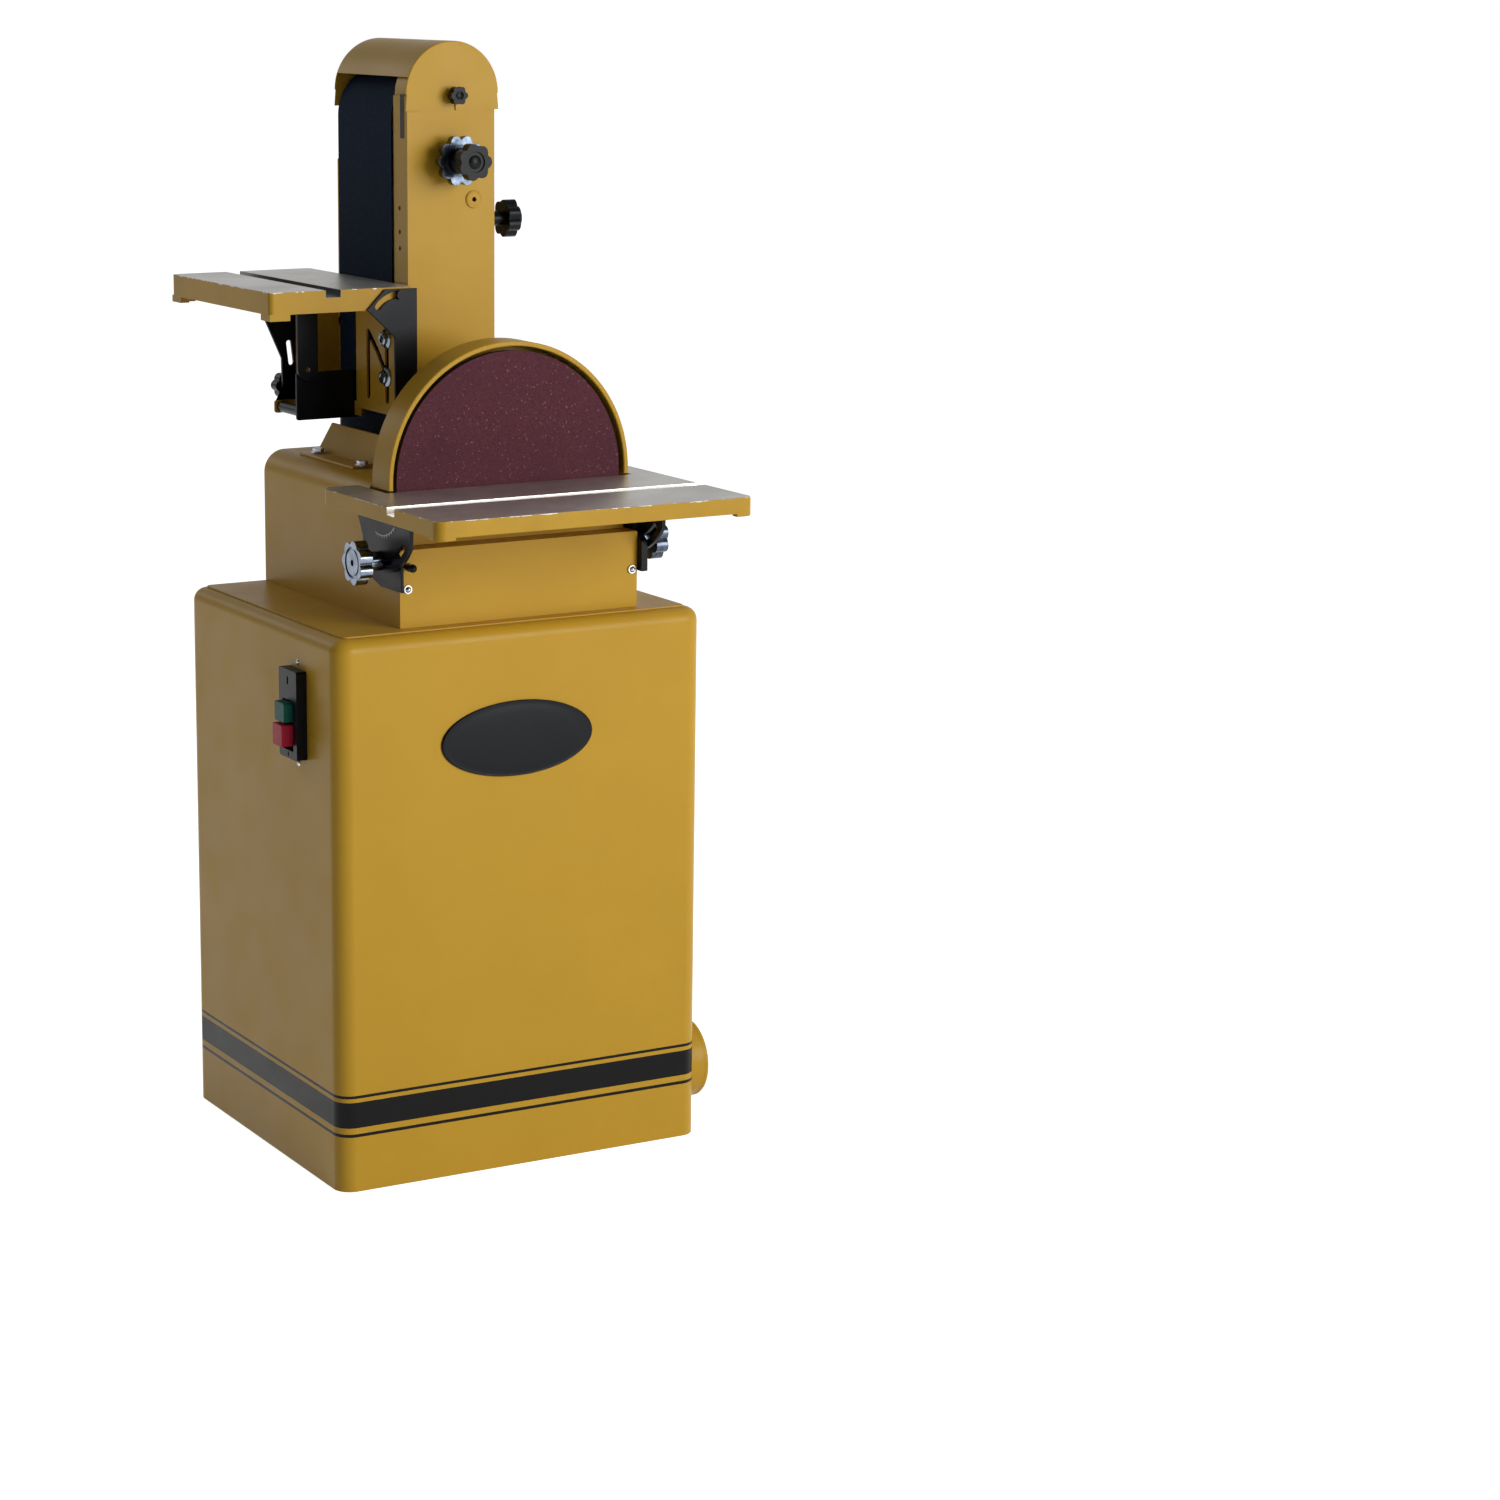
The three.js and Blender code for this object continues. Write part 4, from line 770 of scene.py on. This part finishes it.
def makePlunger():
    low, high = spanOf("stop_plunger")
    x, z = (low[0] + high[0]) / 2, (low[2] + high[2]) / 2
    front, back = low[1], high[1]
    pin = addTurned("stopPlunger", "y", (x, z), [
        (0, front), (2.2, front + 0.3), (3.8, front + 1.4), (4.8, front + 3), (5, front + 5),
        (4.6, front + 7), (3.4, front + 9), (2.9, front + 10), (2.9, front + 12), (5, front + 12.3),
        (5, front + 16.3), (2.9, front + 16.6), (2.9, back - 0.5), (2.4, back), (0, back)], 32)
    fitNode(pin, "stop_plunger", "blackEnamel", 45)


makeKnobs()
makePlunger()
print("knobs made")


# small hardware and trim

def addHexBolt(name, axis, centre, seat, way, flats, height, washer):
    # hexagon head on a round washer; way is +1 or -1 along the axis
    face = seat + way * height
    head = addRod(name, axis, centre, flats / math.sqrt(3), min(seat, face), max(seat, face), 6)
    easeEdges(head, 0.5, 2)
    ring = seat + way * 1.4
    disc = addTurned("washer", axis, centre, [
        (0, seat), (washer, seat), (washer, ring - way * 0.4), (washer - 0.4, ring), (0, ring)], 40)
    combine(head, "UNION", disc)
    return head


def addDomeScrew(name, axis, centre, seat, way, radius, height):
    # domed head, its slot cut across
    points = arc((0, 0), 1, 90, 0, 6)
    dome = addTurned(name, axis, centre, [(u * radius, seat + way * v * height) for u, v in points]
                     + [(0, seat)], 32)
    half, deep = radius * 0.14, seat + way * height * 0.6
    far = seat + way * (height + 1)
    low, high = min(deep, far), max(deep, far)
    u, v = centre
    corners = {"x": ((low, u - half, v - radius), (high, u + half, v + radius)),
               "y": ((u - half, low, v - radius), (u + half, high, v + radius)),
               "z": ((u - half, v - radius, low), (u + half, v + radius, high))}[axis]
    combine(dome, "DIFFERENCE", addBlock("slot", *corners))
    return dome


badge = {"centre": (-10, 542), "half": (103, 46.5), "proud": 4.2}
panelScrews = {"places": [(-139, 729), (168, 729)], "radius": 5, "height": 4.6}
switchScrews = {"places": [(-113, 638.6), (-113, 514)], "radius": 3.6, "height": 2}
guardBolts = {"places": [(-108, 0), (-108, 129)], "flats": 13, "height": 6, "washer": 9.5}
plug = {"centre": (47, 1173), "radius": 11, "hole": 3, "height": 2.2}
scaleStrip = {"y": (8, 18), "z": (1249, 1302), "thick": 0.5}


def makeTrim():
    front = spanOf("cabinet_shell")[0][1]
    wide, tall = badge["half"]
    proud = badge["proud"]
    plate = addTurned("badge", "y", badge["centre"], [
        (0, front - proud), (40, front - proud + 0.1), (70, front - proud + 0.5), (90, front - proud + 1.3),
        (wide - 5, front - proud + 1.9), (wide - 3.6, front - proud + 1.2), (wide - 1.6, front - proud + 1.2),
        (wide, front - proud + 2.4), (wide, front - 0.02), (0, front - 0.02)], 96)
    takeOnly(plate)
    bpy.ops.object.mode_set(mode="EDIT")
    bpy.ops.mesh.select_all(action="SELECT")
    bpy.ops.transform.resize(value=(1, 1, tall / wide), center_override=spot("y", badge["centre"], front))
    bpy.ops.object.mode_set(mode="OBJECT")
    fitExtra(plate, "root", "blackEnamel", 60)

    panelFace = spanOf("front_panel")[0][1]
    for number, centre in enumerate(panelScrews["places"]):
        nut = addTurned("panelScrew" + str(number), "y", centre, [
            (0, panelFace - 5.6), (1.6, panelFace - 5.3), (3, panelFace - 4.3), (3.6, panelFace - 3),
            (3.8, panelFace - 2.4), (5.2, panelFace - 2.4), (5.4, panelFace - 1), (5.4, panelFace - 0.02),
            (3, panelFace - 0.02), (3, panelFace + 6), (0, panelFace + 6)], 32)
        fitExtra(nut, "root", "zincPlate", 40)
    side = spanOf("cabinet_shell")[0][0]
    for number, centre in enumerate(switchScrews["places"]):
        screw = addDomeScrew("switchScrew" + str(number), "x", centre, side, -1, switchScrews["radius"],
                             switchScrews["height"])
        fitExtra(screw, "root", "zincPlate", 40)
    ledge = 853.02
    for number, centre in enumerate(guardBolts["places"]):
        bolt = addHexBolt("guardBolt" + str(number), "z", centre, ledge, 1, guardBolts["flats"],
                          guardBolts["height"], guardBolts["washer"])
        fitExtra(bolt, "root", "zincPlate", 30)

    face = spanOf("column_frame")[0][1]
    r, h, hole = plug["radius"], plug["height"], plug["hole"]
    button = addTurned("accessPlug", "y", plug["centre"], [
        (hole, face - h), (r - 3, face - h), (r - 2.4, face - h + 0.4), (r - 1, face - h + 0.2),
        (r, face - h + 1), (r, face - 0.02), (hole, face - 0.02), (hole, face - h)], 48)
    fitExtra(button, "column", "yellowEnamel", 40)
    left = spanOf("column_frame")[0][0]
    strip = addBlock("scaleStrip", (left - scaleStrip["thick"], scaleStrip["y"][0], scaleStrip["z"][0]),
                     (left - 0.02, scaleStrip["y"][1], scaleStrip["z"][1]))
    pick(strip, "faces", lambda f: f.normal.x < -0.9)
    bpy.ops.mesh.inset(thickness=1.2 * mm)
    bpy.ops.transform.translate(value=(0.2 * mm, 0, 0))
    bpy.ops.object.mode_set(mode="OBJECT")
    fitExtra(strip, "column", "blackEnamel")


makeTrim()
print("trim made")


# fittings round the tables

slotNut = {"y": 24, "heights": (957, 1004.5), "seat": -62.3}
tiltScale = {"centre": (-155, 842), "radius": 50, "band": 1.6, "from": -134, "to": -72, "ticks": 8, "tick": 4}
lowerCover = {"thick": 1.4, "side": 4, "top": 811}


def makeTableFittings():
    nuts, ends = [], []
    seat = slotNut["seat"]
    for height in slotNut["heights"]:
        centre = (slotNut["y"], height)
        nuts.append(addTurned("slotBolts", "x", centre, [
            (0, seat - 4.6), (4.4, seat - 4.6), (4.4, seat - 6.9), (5, seat - 7.4), (7.2, seat - 7.4),
            (8.4, seat - 6.2), (8.4, seat - 3), (11.6, seat - 1.8), (12.5, seat - 1.1), (12.5, seat),
            (4, seat), (4, -36), (0, -36)], 48))
        ends.append(addTurned("slotBoltEnds", "x", centre, [
            (0, seat - 7.2), (2.2, seat - 7), (3.9, seat - 6.2), (3.9, seat - 4.62), (0, seat - 4.62)], 32))
    combine(nuts[0], "UNION", nuts[1])
    combine(ends[0], "UNION", ends[1])
    fitNode(nuts[0], "slot_bolts", "chromePlate")
    fitExtra(ends[0], "column", "blackEnamel")

    left = spanOf("trunnion_quadrant_left")[0][0]
    middle, radius = tiltScale["centre"], tiltScale["radius"]
    first, last = tiltScale["from"], tiltScale["to"]
    band = (arc(middle, radius, first, last, 24) + arc(middle, radius + tiltScale["band"], last, first, 24))
    scale = addOutlined("tiltScale", "x", band, left - 0.3, left - 0.02)
    ticks = []
    for number in range(tiltScale["ticks"]):
        angle = first + (last - first) * (number + 0.5) / tiltScale["ticks"]
        inner, outer = radius + 1, radius + tiltScale["tick"]
        early, late = angle - 0.7, angle + 0.7
        mark = arc(middle, inner, early, late, 1) + arc(middle, outer, late, early, 1)
        ticks.append(addOutlined("tick", "x", mark, left - 0.3, left - 0.02))
    combine(scale, "UNION", *ticks)
    fitExtra(scale, "disc_table", "whitePaint")

    paper = spanOf("abrasive_disc")
    low, high = spanOf("front_panel")
    cover = addBlock("discLowerCover",
                     (low[0] + lowerCover["side"], paper[0][1] - 3.6 - lowerCover["thick"], high[2] + 0.2),
                     (high[0] - lowerCover["side"], paper[0][1] - 3.6, lowerCover["top"]))
    easeEdges(cover, 0.4)
    fitExtra(cover, "root", "yellowEnamel")

    y = spanOf("rear_support")[0][1]
    stem = [(0, y - 18), (7, y - 17.6), (9.5, y - 15.5), (10.5, y - 12), (9.5, y - 8), (6, y - 6),
            (5, y - 1), (5, y - 0.05), (0, y - 0.05)]
    knob = addTurned("rearLockKnob", "y", (-37.9, 1011.6), stem, 40)
    fitExtra(knob, "table_carriage", "blackPlastic")
    rib = addBlock("rearSeam", (-104, y - 1.2, 991), (-66, y - 0.05, 993))
    post = addBlock("rearSeamPost", (-104, y - 1.2, 940), (-102, y - 0.05, 1030))
    combine(rib, "UNION", post)
    fitExtra(rib, "table_carriage", "yellowEnamel")


makeTableFittings()
print("table fittings made")


# room, light and camera

# lean: how much brighter the room is towards +X, +Y and up
studio = {"floorSize": 40, "floorLift": 0.85, "world": 0.36, "lean": (0.2, 0.2, -0.12), "key": 178,
          "keySize": 2.6, "rim": 14}


def lookAt(lamp, target):
    lamp.rotation_euler = (target - lamp.location).to_track_quat("-Z", "Y").to_euler()


def addLamp(name, place, power, size, target):
    lamp = bpy.data.objects.new(name, bpy.data.lights.new(name, "AREA"))
    lamp.data.energy = power
    lamp.data.size = size
    lamp.location = place
    bpy.context.scene.collection.objects.link(lamp)
    lookAt(lamp, target)


def makeRoom():
    deselectAll()
    bpy.ops.mesh.primitive_circle_add(vertices=96, radius=studio["floorSize"], fill_type="NGON",
                                      location=(0, 0, cadLow.z - 0.0005))
    floor = bpy.context.active_object
    floor.name = "paleFloor"
    pale = bpy.data.materials.new("palePaper")
    pale.use_nodes = True
    tree = pale.node_tree
    tree.nodes.clear()
    paper = addNode(tree, "ShaderNodeBsdfDiffuse", {"Color": linear("#f2f2f2")})
    ray = addNode(tree, "ShaderNodeLightPath")
    straight = maths(tree, "MAXIMUM", ray.outputs["Is Camera Ray"], ray.outputs["Is Glossy Ray"])
    seen = maths(tree, "MAXIMUM", straight, ray.outputs["Is Transmission Ray"])
    lift = addNode(tree, "ShaderNodeEmission", {
        "Color": (1, 1, 1, 1), "Strength": maths(tree, "MULTIPLY", seen, studio["floorLift"])})
    both = addNode(tree, "ShaderNodeAddShader", {0: paper.outputs[0], 1: lift.outputs[0]})
    addNode(tree, "ShaderNodeOutputMaterial", {"Surface": both.outputs[0]})
    floor.data.materials.append(pale)

    world = bpy.data.worlds.new("studio")
    bpy.context.scene.world = world
    world.use_nodes = True
    tree = world.node_tree
    tree.nodes.clear()
    ray = addNode(tree, "ShaderNodeLightPath")
    seen = maths(tree, "MAXIMUM", ray.outputs["Is Camera Ray"], ray.outputs["Is Transmission Ray"])
    way = addNode(tree, "ShaderNodeTexCoord").outputs["Generated"]
    lean = addNode(tree, "ShaderNodeVectorMath", {0: way, 1: studio["lean"]}, operation="DOT_PRODUCT")
    glowing = maths(tree, "MAXIMUM", maths(tree, "ADD", lean.outputs["Value"], studio["world"]), 0.05)
    level = addNode(tree, "ShaderNodeMix", {0: seen, 2: glowing, 3: 1.0}).outputs[0]
    glow = addNode(tree, "ShaderNodeBackground", {"Color": (1, 1, 1, 1), "Strength": level})
    addNode(tree, "ShaderNodeOutputWorld", {"Surface": glow.outputs[0]})

    middle = Vector((0, 0, 0.75))
    addLamp("keyLamp", (1.9, -4.4, 1.9), studio["key"], studio["keySize"], middle)
    addLamp("backLamp", (-1.5, 2.6, 2.4), studio["rim"], 1.6, middle)
    scene = bpy.context.scene
    scene.view_settings.view_transform = "Standard"


cameraPlace = {"place": (-1996.7, -3950.9, 1464.6), "heading": 26.961, "down": 12.158, "roll": -0.202,
               "lens": 85.815, "shift": (0.1994, -0.0148)}


def makeCamera():
    data = bpy.data.cameras.new("mainCamera")
    camera = bpy.data.objects.new("mainCamera", data)
    bpy.context.scene.collection.objects.link(camera)
    data.sensor_width = 36
    data.lens = cameraPlace["lens"]
    data.shift_x, data.shift_y = cameraPlace["shift"]
    data.clip_start, data.clip_end = 0.1, 100
    camera.location = Vector(cameraPlace["place"]) * mm
    heading, down, roll = [math.radians(cameraPlace[key]) for key in ("heading", "down", "roll")]
    camera.rotation_euler = (Matrix.Rotation(-heading, 3, "Z")
                             @ Matrix.Rotation(math.pi / 2 - down, 3, "X")
                             @ Matrix.Rotation(roll, 3, "Z")).to_euler()
    bpy.context.scene.camera = camera


makeRoom()
makeCamera()
print("room and camera made")
